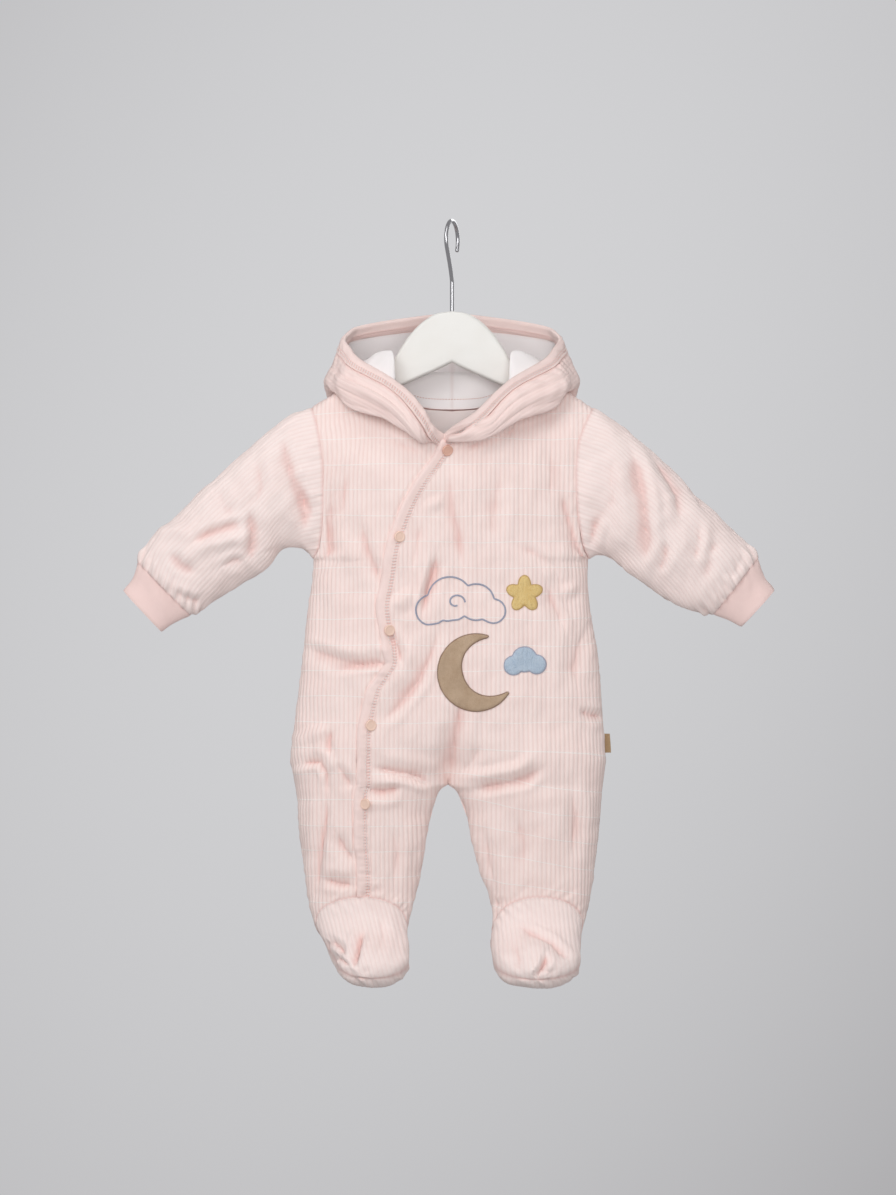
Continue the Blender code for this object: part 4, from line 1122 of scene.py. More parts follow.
FOOT_SHARES = np.linspace(0, 1, 105)
VAMP_CREASES = (
    (((-88, -704), (-91, -716), (-94, -728), (-99, -741)), 3.6, 4.6, 0.3),
    (((-124, -716), (-112, -722), (-104, -730)), 3.2, 3.0, -0.2),
    (((-118, -730), (-108, -734), (-101, -740)), 3.0, 3.2, 0.2),
    (((-110, -746), (-102, -744), (-94, -746)), 3.0, 2.6, 0.2),
    (((-72, -688), (-68, -708), (-74, -730)), 7, 1.6, 0.2),
    (((-137, -712), (-128, -719), (-118, -722)), 2.4, 2.8, 0.2),
    (((-132, -724), (-124, -729), (-115, -732)), 2.4, 3.0, 0.2),
    (((-124, -735), (-117, -739), (-109, -740)), 2.4, 3.0, 0.2),
    (((-115, -744), (-109, -747), (-101, -747)), 2.4, 2.6, 0.2),
    (((-94, -752), (-86, -744), (-78, -740)), 3.6, 2.2, 0.2),
    (((58, -698), (76, -706), (99, -716), (114, -730), (124, -742)), 4.6, 3.0, 0.3),
    (((94, -724), (91, -734), (85, -746), (82, -756)), 3.4, 4.4, -0.2),
    (((74, -756), (80, -748), (86, -742)), 3.0, 2.8, 0.2),
    (((104, -754), (98, -746), (90, -742)), 3.0, 2.4, 0.2),
    (((60, -712), (66, -732), (62, -748)), 6, 1.6, 0.2),
)
SOLE_CREASES = (
    (((-112, -704), (-84, -712), (-56, -706)), 6, 2.4, 0.2),
    (((-104, -726), (-86, -734), (-62, -730)), 6, 1.8, 0.2),
    (((52, -706), (82, -714), (112, -706)), 6, 2.4, 0.2),
    (((60, -728), (88, -736), (108, -728)), 6, 1.8, -0.2),
)
FOOT_PIECES = {  # its face, where it starts along the leg, its creases, and how far its seams draw it in
    "vamp": ("front", VAMP_TOP_ALONG, VAMP_CREASES, 1.0, 101),
    "sole": ("back", HEEL_ALONG, SOLE_CREASES, 2.4, 102),
}


def foot_piece(kind, foot, finish):
    face, start, table, pull, seed = FOOT_PIECES[kind]
    outer, inner = (foot_wall(foot, FOOT_SHARES, face, start, inset) for inset in (0.0, CLOTH))
    x, z = outer[..., 0], outer[..., 2]
    sides = sides_of("seam seam seam seam")
    folds = creases(x, z, table) + 0.6 * ripple(x, z, 30, seed)
    folds = sewn(outer, sides, folds, x + z, seed, pull)
    rib = rib_place(outer) + (0.28 if foot == "left" else 0.1) * (z + 700)
    made = patch(outer, inner, sides, folds + ribs(rib), rib, run_lengths(outer, 0), folds)
    return wall(f"{kind}_{foot}_cloth", [made], finish)


# Sleeves and cuffs


SLEEVE_CREASES = {
    "left": (
        (((-172, -208), (-166, -232), (-158, -258), (-134, -308)), 8, 3.6, 0.3),
        (((-196, -232), (-190, -262), (-196, -290)), 8, 2.0, 0.2),
        (((-203, -286), (-199, -310), (-201, -332), (-193, -342)), 6.5, 4.2, -0.3),
        (((-264, -334), (-243, -322), (-222, -317), (-200, -315)), 6, -2.4, 0.2),
        (((-300, -311), (-280, -308), (-258, -310)), 6, -2.2, 0.1),
        (((-262, -322), (-246, -312), (-224, -304), (-206, -300)), 5.5, 3.2, 0.3),
        (((-150, -262), (-146, -290), (-148, -316)), 6, 2.6, 0.2),
        (((-280, -370), (-266, -376), (-250, -382)), 6, 3.4, 0.2),
        (((-236, -264), (-228, -284), (-214, -296)), 8, 1.8, 0.2),
        (((-284, -330), (-272, -344), (-254, -352)), 6, 2.2, -0.2),
        (((-232, -346), (-216, -338), (-204, -340)), 5, 2.4, 0.2),
    ),
    "right": (
        (((178, -222), (186, -250), (192, -280), (194, -324), (187, -350)), 9, 4.8, 0.3),
        (((146, -292), (141, -310), (137, -330)), 6, 3.0, 0.2),
        (((200, -232), (214, -252), (225, -272), (227, -304)), 7, 3.0, -0.3),
        (((247, -300), (247, -320), (240, -344)), 6, 2.8, 0.3),
        (((292, -334), (286, -346), (278, -360)), 6, 2.8, 0.2),
        (((160, -232), (158, -258), (163, -292)), 8, 2.0, 0.2),
        (((264, -312), (258, -336), (252, -360)), 6.5, 1.8, 0.2),
        (((214, -318), (212, -338), (204, -354)), 6, 2.6, 0.2),
        (((236, -264), (246, -276), (254, -290)), 6, 1.8, 0.2),
    ),
}
SLEEVE_BACK_CREASES = (
    (((168, -216), (172, -250), (168, -300)), 8, 3.2, 0.3),
    (((206, -244), (210, -280), (204, -330)), 8, 3.4, -0.2),
    (((240, -282), (240, -320), (226, -356)), 7, 2.8, 0.2),
    (((276, -316), (268, -346), (254, -372)), 6, 2.6, 0.2),
)


def sleeve_relief(name, grid):
    x, y, z = grid[..., 0], grid[..., 1], grid[..., 2]
    before = smooth(0.5 - y / 16)
    seen = creases(x, z, SLEEVE_CREASES[name])
    unseen = creases(np.abs(x), z, SLEEVE_BACK_CREASES)
    uneven = 0.9 * ripple(x + y, z - y * 0.4, 42, 61) + 0.4 * ripple(x - y, z + y * 0.4, 16, 62)
    return before * seen + (1 - before) * unseen + uneven


def sleeve(name, finish):
    places = np.linspace(0, len(SLEEVES[name]["depth"]), 65)

    def rings(inset):
        controls = [armhole(name, inset)] + [section(row, inset) for row in rows_of(SLEEVES[name])]
        return spline(np.array(controls), places)

    outer = rings(0.0)
    around_ring = run_lengths(outer, 1)
    whole = around_ring[:, -1:]
    rib = np.where(np.arange(outer.shape[1]) <= RING_STEPS, around_ring, around_ring - whole)
    run = run_lengths(outer, 0)
    sides = sides_of("joined joined seam seam")
    folds = sewn(outer, sides, sleeve_relief(name, outer), rib * 1.3, 63, 0.9)
    from_cuff = run[-1:] - run
    gathers = 1.6 + 1.5 * ripple(rib * 1.1, run * 0.12, 10, 64)
    folds = folds + gathers * np.exp(-(((from_cuff - 9) / 8) ** 2))
    under_seam = np.abs(around_ring - whole / 2)
    folds = folds - 1.1 * np.exp(-under_seam / 2.2)
    made = patch(outer, rings(CLOTH), sides, folds + 0.6 * ribs(rib) * fading(outer, sides), rib, run, folds)
    return wall(f"sleeve_{name}_cloth", [made], finish)


def cuff(name, finish):
    places = np.linspace(0, len(CUFFS[name]["depth"]), 33)

    def rings(inset):
        controls = np.array([section(row, inset) for row in rows_of(CUFFS[name])])
        middles = controls.mean(axis=1)
        inwards = (middles[0] - middles[1]) / np.linalg.norm(middles[0] - middles[1])
        tucked = middles[0] + 0.93 * (controls[0] - middles[0]) + 3.5 * inwards
        return spline(np.concatenate([tucked[None], controls]), places)[:, ::2]

    outer, inner = rounded(rings(0.0), rings(CUFF_WALL), "bottom", 3)
    rib = run_lengths(outer, 1)
    run = run_lengths(outer, 0)
    sides = sides_of("joined joined open open")
    gathers = 0.55 * np.exp(-run / 7) * ripple(rib, run * 0.2, 9, 71) + 0.35 * ripple(rib, run, 24, 72)
    return wall(f"cuff_{name}_cloth", [patch(outer, inner, sides, gathers, rib, run)], finish, every=(1, 2))


# The hood


HOOD_MIDDLE = 9.0  # the centre seam's place round the loop
HOOD_HALF_GAP = 0.001
UNDER_HOOD = CLOTH + SEAM
HOOD_LENGTH = 620.0  # the loop's length, by which its creases are drawn
HUMP = 26.0  # how far the hood is pushed up beside the hanger's neck
HUMP_WAY = np.array((0.85, -0.1, 1))
HUMP_PLACE, HUMP_WIDTH = 3.2, 1.1  # round the loop from either throat
HUMP_ABOVE_NECK, HUMP_HEIGHT = 12.0, 13.0
THROAT = (-6.0, -210.0)  # what hangs forward over the throat: its middle, half its size and how far
THROAT_SIZE = (62.0, 46.0)
THROAT_DROOP = np.array((0, 2.4, 8.5))
NAPE_RISE = np.array((0, 0, 7.0))


def hood_wall(places, steps, depth):
    """The hood's wall at places round the loop; each step gives a distance from the rim."""
    controls = hood_controls()
    fine = np.linspace(0, controls.shape[1] - 1, 161)
    grid = []
    for place in places:
        here, before, after = (spline(spline(controls, place + shift), fine) for shift in (0, -0.02, 0.02))
        run = run_lengths(here, 0)
        outwards = np.cross(np.gradient(here, axis=0), after - before)
        outwards /= np.linalg.norm(outwards, axis=1, keepdims=True)
        wanted = run[-1] - np.array([step(run[-1], place) for step in steps])
        spots, facing = (
            np.stack([np.interp(wanted, run, every[:, axis]) for axis in range(3)], axis=-1)
            for every in (here, outwards)
        )
        turn = min(place, 2 * HOOD_MIDDLE - place)
        beside_hanger = HUMP * math.exp(-(((turn - HUMP_PLACE) / HUMP_WIDTH) ** 2))
        above_neck = np.exp(-(((wanted - HUMP_ABOVE_NECK) / HUMP_HEIGHT) ** 2))
        puffed = beside_hanger * above_neck * smooth(wanted / 10)
        spots += puffed[:, None] * HUMP_WAY * (1 if place < HOOD_MIDDLE else -1, 1, 1)
        grid.append(spots - facing * depth)
    return drooped(np.stack(grid, axis=1))


def drooped(points):
    """The hood's cloth hangs forward and down a little over the throat, and stands up at the nape."""
    x, y, z = points[..., 0], points[..., 1], points[..., 2]
    away = np.hypot((x - THROAT[0]) / THROAT_SIZE[0], (z - THROAT[1]) / THROAT_SIZE[1])
    share = smooth(1.15 - away) * smooth((-12 - y) / 20)
    behind = smooth((y - 5) / 55) * smooth((z + 165) / 45)
    return points - share[..., None] * THROAT_DROOP + behind[..., None] * NAPE_RISE


def bridged(grid, target, steps, first, heading):
    """The grid with its last columns, after first, led in a curve onto a target section."""
    start = grid[:, first]
    reach = np.linalg.norm(target - start, axis=-1, keepdims=True).mean()
    leave = start - grid[:, first - 2]
    leave = leave / np.linalg.norm(leave, axis=-1, keepdims=True) * reach
    arrive = np.array(heading) * reach
    parts = [grid[:, : first + 1]]
    for t in np.linspace(0, 1, steps + 1)[1:]:
        a, b, c, d = 2 * t**3 - 3 * t**2 + 1, t**3 - 2 * t**2 + t, 3 * t**2 - 2 * t**3, t**3 - t**2
        forwards = np.array((0, -5.6, 0)) * t * (1 - t)
        parts.append((a * start + b * leave + c * target + d * arrive + forwards)[:, None])
    return np.concatenate(parts, axis=1)


def hood_places(name, count):
    left = np.linspace(0, HOOD_MIDDLE - HOOD_HALF_GAP, count)
    return left if name == "left" else (2 * HOOD_MIDDLE - left)[::-1]


def hood_steps(first, count):
    """Distances from the rim, from the band's edge down to the neck."""

    def at(share):
        def distance(length, place):
            clear = (first if share == 0 else 0.8) + 3 * max(0, 1 - length / 80)
            clear -= 7 * smooth((place - 16.8) / 0.5)
            return (rim_width(length) + clear) * (1 - share) + length * share

        return distance

    return [at(share) for share in np.linspace(0, 1, count)]


HOOD_CREASES = (  # along the loop from the left throat, and the distance from the rim
    (((60, 40), (96, 52), (140, 46)), 7, 2.2, 0.2),
    (((130, 84), (176, 92), (226, 84)), 8, 2.6, 0.3),
    (((196, 44), (232, 60), (276, 56)), 8, 2.2, -0.2),
    (((262, 110), (300, 96), (340, 112)), 9, 2.6, 0.3),
    (((352, 60), (392, 70), (430, 56)), 8, 2.0, 0.2),
    (((380, 88), (426, 96), (470, 84)), 8, 2.6, -0.3),
    (((470, 44), (510, 54), (550, 40)), 7, 2.2, 0.2),
    (((12, 22), (60, 24), (110, 27), (180, 30)), 3.5, 1.7, 0.3),
    (((30, 32), (70, 38), (124, 40)), 5, 2.0, -0.2),
    (((604, 23), (566, 25), (530, 28), (494, 30)), 4, 1.8, 0.3),
    (((596, 32), (560, 38), (524, 42)), 6, 1.9, -0.2),
)


def hood_layer(name, start, rows, seen, hidden):
    """Half the hood at two depths, and its points' places down from the rim and along the loop."""
    places = hood_places(name, 121)
    steps = hood_steps(start, rows)
    outer, inner = (hood_wall(places, steps, depth) for depth in (seen, hidden))
    from_rim = run_lengths(outer, 0) + RIM_WIDTH
    return outer, inner, from_rim, np.broadcast_to(places / (2 * HOOD_MIDDLE) * HOOD_LENGTH, from_rim.shape)


def hood_half(name, outer_finish, lining_finish):
    sides = sides_of("seam seam seam seam")
    outer, inner, from_rim, along = hood_layer(name, 0.8, 177, 0.0, CLOTH)
    folds = 0.75 * creases(along, from_rim, HOOD_CREASES) + 0.9 * ripple(along, from_rim, 44, 81)
    folds = folds + 0.35 * ripple(along, from_rim, 17, 82)
    folds = sewn(outer, sides, folds, along + from_rim, 83, 1.2)
    folds = np.where(folds < 0, -2.2 * np.tanh(-folds / 2.2), folds)
    cloth = patch(outer, inner, sides, folds + 0.3 * ribs(from_rim), from_rim, along, folds)
    wall(f"hood_{name}_cloth", [cloth], outer_finish)
    outer, inner, from_rim, along = hood_layer(name, 1.8, 97, UNDER_HOOD + LINING, UNDER_HOOD)
    folds = sewn(outer, sides, 0.45 * ripple(along, from_rim, 34, 85) + 0.1, along, 86, 0.3)
    lining = patch(outer, inner, sides, folds, from_rim, along, folds)
    wall(f"hood_lining_{name}_cloth", [lining], lining_finish)


RIM_LAP = 0.5  # how far the rim runs on over the hood's edge
RIM_STITCH_ROWS = np.array((11, 14))
THROAT_END = np.array((-1, -30.8, -219))  # where the rim's left end is led under the overlap
THROAT_END_WIDTH = np.array((-9, 0, -10))


def hood_rim(finish):
    places = np.concatenate([hood_places("left", 151), hood_places("right", 151)[1:]])
    shares = np.linspace(0, 1, 17)
    band = [lambda length, place, share=share: (rim_width(length) + RIM_LAP) * share for share in shares]
    outer = hood_wall(places, band, -0.3)
    inner = hood_wall(places, band, UNDER_HOOD + LINING + 0.3)
    across = shares * (len(BAND_STEPS) - 1)
    ends = [spline(trunk_band(depth)[BRIDGE_ROW], across) for depth in (CLOTH - BAND, CLOTH)]
    run_out = len(places) - 16
    outer, inner = (
        bridged(grid, end, 18, run_out, (-0.45, 0.1, -0.88)) for grid, end in zip((outer, inner), ends)
    )
    under = THROAT_END + shares[:, None] * THROAT_END_WIDTH
    outer, inner = (
        bridged(grid[:, ::-1], under + (0, deep, 0), 10, grid.shape[1] - 9, (0.6, 0.2, -0.75))[:, ::-1]
        for grid, deep in ((outer, 0), (inner, 1.6))
    )
    outer, inner = rounded(outer, inner, "top", 4)
    from_rim = run_lengths(outer, 0)
    along = run_lengths(outer, 1)
    sewn_down = grooves(from_rim, RIM_STITCH_ROWS * (RIM_WIDTH + RIM_LAP) / (len(shares) - 1))
    relief = 0.35 * ripple(along, from_rim * 0.3, 9, 91) * smooth(from_rim / 4) - 0.6 * sewn_down
    relief = relief + 0.5 * np.exp(-(((from_rim - 5) / 3) ** 2))
    sides = sides_of("open open open open")
    # Its fold mark paints shade into the stitched grooves.
    made = patch(outer, inner, sides, relief, from_rim, along, -3 * sewn_down)
    return wall("hood_rim_cloth", [made], finish, (1, 2))


# Finishes


def add(tree, kind, *values, **settings):
    """A node, its inputs set or linked in order."""
    made = tree.nodes.new(kind)
    for name, value in settings.items():
        setattr(made, name, value)
    for socket, value in zip(made.inputs, values):
        join(tree, value, socket)
    return made


def join(tree, value, socket):
    if hasattr(value, "is_output"):
        tree.links.new(value, socket)
    else:
        socket.default_value = value


def give(node, values):
    """The node with some of its inputs set or linked by name."""
    for name, value in values.items():
        join(node.id_data, value, node.inputs[name])
    return node


def after(kind, *values, **settings):
    """What a node makes of these values, in the tree that they come from."""
    tree = next(value.id_data for value in values if hasattr(value, "is_output"))
    return add(tree, kind, *values, **settings).outputs[0]


def reckon(operation, *values):
    return after("ShaderNodeMath", *values, operation=operation)


def times(one, other):
    return reckon("MULTIPLY", one, other)


def plus(one, other):
    return reckon("ADD", one, other)


def ranged(value, *bounds, **settings):
    """A value moved from one range to another: from, to, new from and new to."""
    return after("ShaderNodeMapRange", value, *bounds, **settings)


def blend(share, first, second):
    """A colour between two others."""
    made = add(share.id_data, "ShaderNodeMix", data_type="RGBA")
    return give(made, {"Factor": share, "A": first, "B": second}).outputs["Result"]


def colour(red, green, blue):
    """An sRGB colour out of 255, as the shader's linear one."""
    return (*(((v / 255 + 0.055) / 1.055) ** 2.4 for v in (red, green, blue)), 1.0)


def times_colour(base, share):
    return (*(min(1, part * share) for part in base[:3]), 1)


def noise(place, scale, detail=2.0, roughness=0.5):
    made = place.id_data.nodes.new("ShaderNodeTexNoise")
    give(made, {"Vector": place, "Scale": scale, "Detail": detail, "Roughness": roughness})
    return made.outputs["Fac"]


def knit_group():
    """The knit's marks: rib valleys, pale tucks across them, small loops and fuzz, from places in metres."""
    tree = bpy.data.node_groups.new("knit marks", "ShaderNodeTree")
    sizes = {"Across": 0, "Along": 0, "Rib pitch": RIB_PITCH * MM, "Tuck pitch": 0.0257, "Loop": 0.0011}
    for title, value in sizes.items():
        socket = tree.interface.new_socket(title, in_out="INPUT", socket_type="NodeSocketFloat")
        socket.default_value = value
    for title in ("Valley", "Tuck", "Loops", "Fuzz"):
        tree.interface.new_socket(title, in_out="OUTPUT", socket_type="NodeSocketFloat")
    given = tree.nodes.new("NodeGroupInput").outputs
    across, along, rib_pitch, tuck_pitch, loop = (given[name] for name in sizes)
    turns = times(reckon("DIVIDE", across, rib_pitch), math.pi)
    valley = reckon("POWER", reckon("ABSOLUTE", reckon("SINE", turns)), 5.0)
    place = after("ShaderNodeCombineXYZ", across, along, 0.0)
    wander = times(noise(place, 14.0), 0.10)
    share = reckon("FRACT", plus(reckon("DIVIDE", along, tuck_pitch), wander))
    from_line = reckon("ABSOLUTE", reckon("SUBTRACT", share, 0.5))
    tuck = ranged(from_line, 0.0, 0.031, 1.0, 0.0, interpolation_type="SMOOTHSTEP")
    climb = plus(along, reckon("PINGPONG", across, times(loop, 0.6)))
    loops = reckon("SINE", times(reckon("DIVIDE", climb, loop), 2 * math.pi))
    fuzz = noise(place, 900.0, 3.0, 0.7)
    give(tree.nodes.new("NodeGroupOutput"), {"Valley": valley, "Tuck": tuck, "Loops": loops, "Fuzz": fuzz})
    return tree


KNIT = knit_group()


def finish_of(name):
    """A new material, its tree and its shader."""
    made = bpy.data.materials.new(name)
    made.use_nodes = True
    return made, made.node_tree, made.node_tree.nodes["Principled BSDF"]


def own_place(tree):
    return tree.nodes.new("ShaderNodeTexCoord").outputs["Object"]


def bump(shader, height, strength, distance):
    made = height.id_data.nodes.new("ShaderNodeBump")
    give(made, {"Height": height, "Strength": strength, "Distance": distance})
    give(shader, {"Normal": made.outputs["Normal"]})


def knit(name, crest, valley, deep, ribbing, tucks=0.0, rib_pitch=RIB_PITCH * MM, sheen=0.25, ladder=0.0):
    """Knit cloth: crest and valley colours, the valley's partly painted shade; deep, a deeper colour painted
    in as shade in folds, along seams and in stitched grooves; and how strong its marks are.

    ladder is how far across, in metres, a row of stitches with rungs lies.
    """
    made, tree, shader = finish_of(name)
    marks = add(tree, "ShaderNodeAttribute", attribute_name="cloth")
    across, along, shade = add(tree, "ShaderNodeSeparateXYZ", marks.outputs["Vector"]).outputs[:3]
    group = add(tree, "ShaderNodeGroup", node_tree=KNIT)
    give(group, {"Across": across, "Along": along, "Rib pitch": rib_pitch})
    valleys, tuck_lines, loops, fuzz = group.outputs[:4]
    mottle = noise(after("ShaderNodeCombineXYZ", across, along, 0.0), 34.0, 3.0)
    # The darker valley colour is partly the knit's own tone and partly painted shade in the rib valleys.
    base = blend(times(valleys, 0.42 * ribbing), crest, valley)
    base = blend(ranged(mottle, 0.35, 0.75, 0.0, 0.2), base, valley)
    if tucks:
        base = blend(times(tuck_lines, 0.7 * tucks), base, colour(255, 247, 244))
    # Painted shade: the deep colour, by the third mark, in deep folds, along seams and in stitched grooves.
    base = blend(ranged(shade, 0.0, 1.0, 0.0, 0.32), base, deep)
    height = plus(times(valleys, -0.22 * ribbing), times(tuck_lines, 0.2 * tucks))
    if ladder:
        place = reckon("DIVIDE", reckon("SUBTRACT", across, ladder), 0.0026)
        over_stitches = reckon("SUBTRACT", 1.0, reckon("POWER", reckon("ABSOLUTE", place), 4.0))
        wave = reckon("SINE", times(along, 2 * math.pi / 0.0031))
        rungs = times(reckon("MAXIMUM", over_stitches, 0.0), wave)
        # Painted shade in the hollows of the rungs' crosswise puckers.
        base = blend(times(reckon("MAXIMUM", rungs, 0.0), 0.45), base, deep)
        height = plus(height, times(rungs, -0.3))
    give(shader, {"Base Color": base, "Roughness": 0.93, "Specular IOR Level": 0.18, "Sheen Weight": sheen})
    give(shader, {"Sheen Roughness": 0.55, "Sheen Tint": (1.0, 0.93, 0.91, 1)})
    bump(shader, plus(height, plus(times(loops, 0.07), times(fuzz, 0.22))), 0.8, 0.001)
    return made


def pile(name, base, deep, cell, height, sheen):
    """Velour or terry: a pile of small cells, in metres, on the piece's own place."""
    made, tree, shader = finish_of(name)
    place = own_place(tree)
    voronoi = give(add(tree, "ShaderNodeTexVoronoi"), {"Vector": place, "Scale": 1 / cell})
    cells = voronoi.outputs["Distance"]
    nap = noise(place, 60.0, 4.0, 0.65)
    # The deep colour is painted shade where the cells sink between the loops; the nap adds random tone.
    share = plus(times(cells, 0.75), ranged(nap, 0.35, 0.7, 0.0, 0.4))
    give(shader, {"Base Color": blend(share, base, deep), "Roughness": 0.95, "Specular IOR Level": 0.12})
    give(shader, {"Sheen Weight": sheen, "Sheen Roughness": 0.4})
    bump(shader, plus(times(cells, -1.0), nap), 0.9, height)
    return made


def thread(name, base):
    made, tree, shader = finish_of(name)
    twist = noise(own_place(tree), 1800.0)
    dyed = blend(twist, base, times_colour(base, 0.72))
    give(shader, {"Base Color": dyed, "Roughness": 0.55, "Sheen Weight": 0.2})
    bump(shader, twist, 0.5, 0.0002)
    return made


def moulded(name, base):
    made, tree, shader = finish_of(name)
    place = own_place(tree)
    grain = noise(place, 2600.0)
    cloudy = blend(noise(place, 180.0), base, times_colour(base, 1.06))
    give(shader, {"Base Color": cloudy, "Roughness": ranged(grain, 0.3, 0.7, 0.34, 0.46)})
    bump(shader, grain, 0.12, 0.0002)
    return made


def painted_wood():
    """Satin paint over wood: brush lines along the grain, and a little wear where the edges turn."""
    made, tree, shader = finish_of("off-white satin paint")
    place = own_place(tree)
    stretched = give(add(tree, "ShaderNodeMapping", place), {"Scale": (0.12, 1, 1)})
    brushed = noise(stretched.outputs[0], 420.0, 4.0, 0.6)
    uneven = ranged(noise(place, 26.0, 3.0), 0.4, 0.75, 0.0, 0.45)
    base = blend(uneven, colour(236, 234, 230), colour(226, 222, 215))
    edges = tree.nodes.new("ShaderNodeNewGeometry").outputs["Pointiness"]
    worn = times(ranged(edges, 0.56, 0.66, 0.0, 0.35), noise(place, 90.0, 3.0))
    give(shader, {"Base Color": blend(worn, base, colour(205, 190, 168)), "Specular IOR Level": 0.45})
    give(shader, {"Roughness": ranged(brushed, 0.3, 0.7, 0.36, 0.5)})
    bump(shader, brushed, 0.18, 0.0004)
    return made


def polished_wire():
    made, tree, shader = finish_of("polished steel wire")
    drawn = noise(own_place(tree), 700.0, 3.0)
    steel = blend(drawn, colour(196, 196, 198), colour(172, 172, 175))
    give(shader, {"Base Color": steel, "Metallic": 1.0, "Roughness": ranged(drawn, 0.3, 0.7, 0.12, 0.24)})
    bump(shader, drawn, 0.1, 0.0002)
    return made


def woven_tape():
    made, tree, shader = finish_of("tan woven tape")
    parts = add(tree, "ShaderNodeSeparateXYZ", own_place(tree)).outputs
    warp, weft = (reckon("SINE", times(parts[axis], 9000.0)) for axis in "XZ")
    weave = times(warp, weft)
    tan = blend(ranged(weave, -1.0, 1.0, 0.0, 1.0), colour(196, 166, 130), colour(170, 138, 102))
    give(shader, {"Base Color": tan, "Roughness": 0.8})
    bump(shader, weave, 0.5, 0.0003)
    return made


# A deeper pink painted in as shade in the cloth's folds, along its seams and in its stitched grooves.
PINK_PAINTED_SHADE = colour(214, 150, 141)
PLAIN_PITCH = 0.0014  # the plain knit's columns, in metres


def pink_knit(name, crest, valley, ribbing, **marks):
    return knit(name, colour(*crest), colour(*valley), PINK_PAINTED_SHADE, ribbing, **marks)


BODY_KNIT = pink_knit("pink rib knit", (255, 236, 231), (238, 203, 196), 1.0, tucks=1.0)
SLEEVE_KNIT = pink_knit("pink rib knit without tucks", (255, 238, 234), (239, 208, 202), 0.6)
HOOD_KNIT = pink_knit("pink rib knit pulled smooth", (252, 229, 224), (238, 202, 195), 0.45)
PLAIN_KNIT = pink_knit("pink plain knit", (251, 223, 218), (238, 203, 197), 0.45, rib_pitch=PLAIN_PITCH)
BAND_KNIT = pink_knit(
    "pink plain knit, overstitched", (253, 230, 225), (243, 209, 202), 0.45,
    rib_pitch=PLAIN_PITCH, ladder=0.011,
)
# Its third colour is painted shade, as with the pinks.
WHITE_LINING = knit(
    "white brushed lining", colour(251, 246, 246), colour(245, 236, 235), colour(232, 212, 209), 0.25,
    rib_pitch=0.0012, sheen=0.4,
)
PINK_LINING = pink_knit("pale pink lining", (255, 243, 240), (249, 229, 225), 0.3, rib_pitch=0.0013)
TAN_VELOUR = pile("tan velour", colour(211, 186, 161), colour(176, 148, 122), 0.0005, 0.0004, 0.5)
YELLOW_TERRY = pile("yellow terry", colour(240, 216, 158), colour(222, 186, 118), 0.0011, 0.0007, 0.35)
BLUE_TERRY = pile("pale blue terry", colour(205, 217, 230), colour(170, 188, 208), 0.0011, 0.0007, 0.35)
PINK_THREAD = thread("pink thread", colour(255, 243, 239))
ROSE_THREAD = thread("rose thread", colour(240, 200, 192))
LAVENDER_THREAD = thread("grey-lavender thread", colour(176, 180, 200))
TAN_THREAD = thread("brown thread", colour(160, 128, 104))
GOLD_THREAD = thread("gold thread", colour(214, 176, 104))
PEACH_PLASTIC = moulded("peach plastic", colour(238, 206, 189))
# A darker peach, for the top snap.
DARKER_PEACH_PLASTIC = moulded("warm peach plastic", colour(220, 174, 156))
SATIN_PAINT = painted_wood()
WIRE_STEEL = polished_wire()
TAN_TAPE = woven_tape()


# What lies on the cloth


def lifted(found, lift):
    """Points lifted along their normals, and the normals."""
    normals = np.array([spot[1] for spot in found])
    return np.array([spot[0] for spot in found]) + normals * lift, normals


class Surface:
    """The finished face of some pieces, in millimetres."""

    def __init__(self, *objects):
        self.trees = []
        for made in objects:
            points = [vertex.co / MM for vertex in made.data.vertices]
            faces = [tuple(polygon.vertices) for polygon in made.data.polygons]
            self.trees.append(BVHTree.FromPolygons(points, faces))

    def in_front(self, x, z):
        """The foremost point at x and z, and its normal."""
        hits = [tree.ray_cast(Vector((x, -400, z)), Vector((0, 1, 0))) for tree in self.trees]
        foremost = min((hit for hit in hits if hit[0]), key=lambda hit: hit[0].y)
        return np.array(foremost[0]), np.array(foremost[1])

    def near(self, place, lift):
        """Points of the surface nearest to these, lifted off it, and their normals."""
        nearest = [[tree.find_nearest(Vector(spot)) for tree in self.trees] for spot in place]
        return lifted([min(hits, key=lambda hit: hit[3]) for hits in nearest], lift)


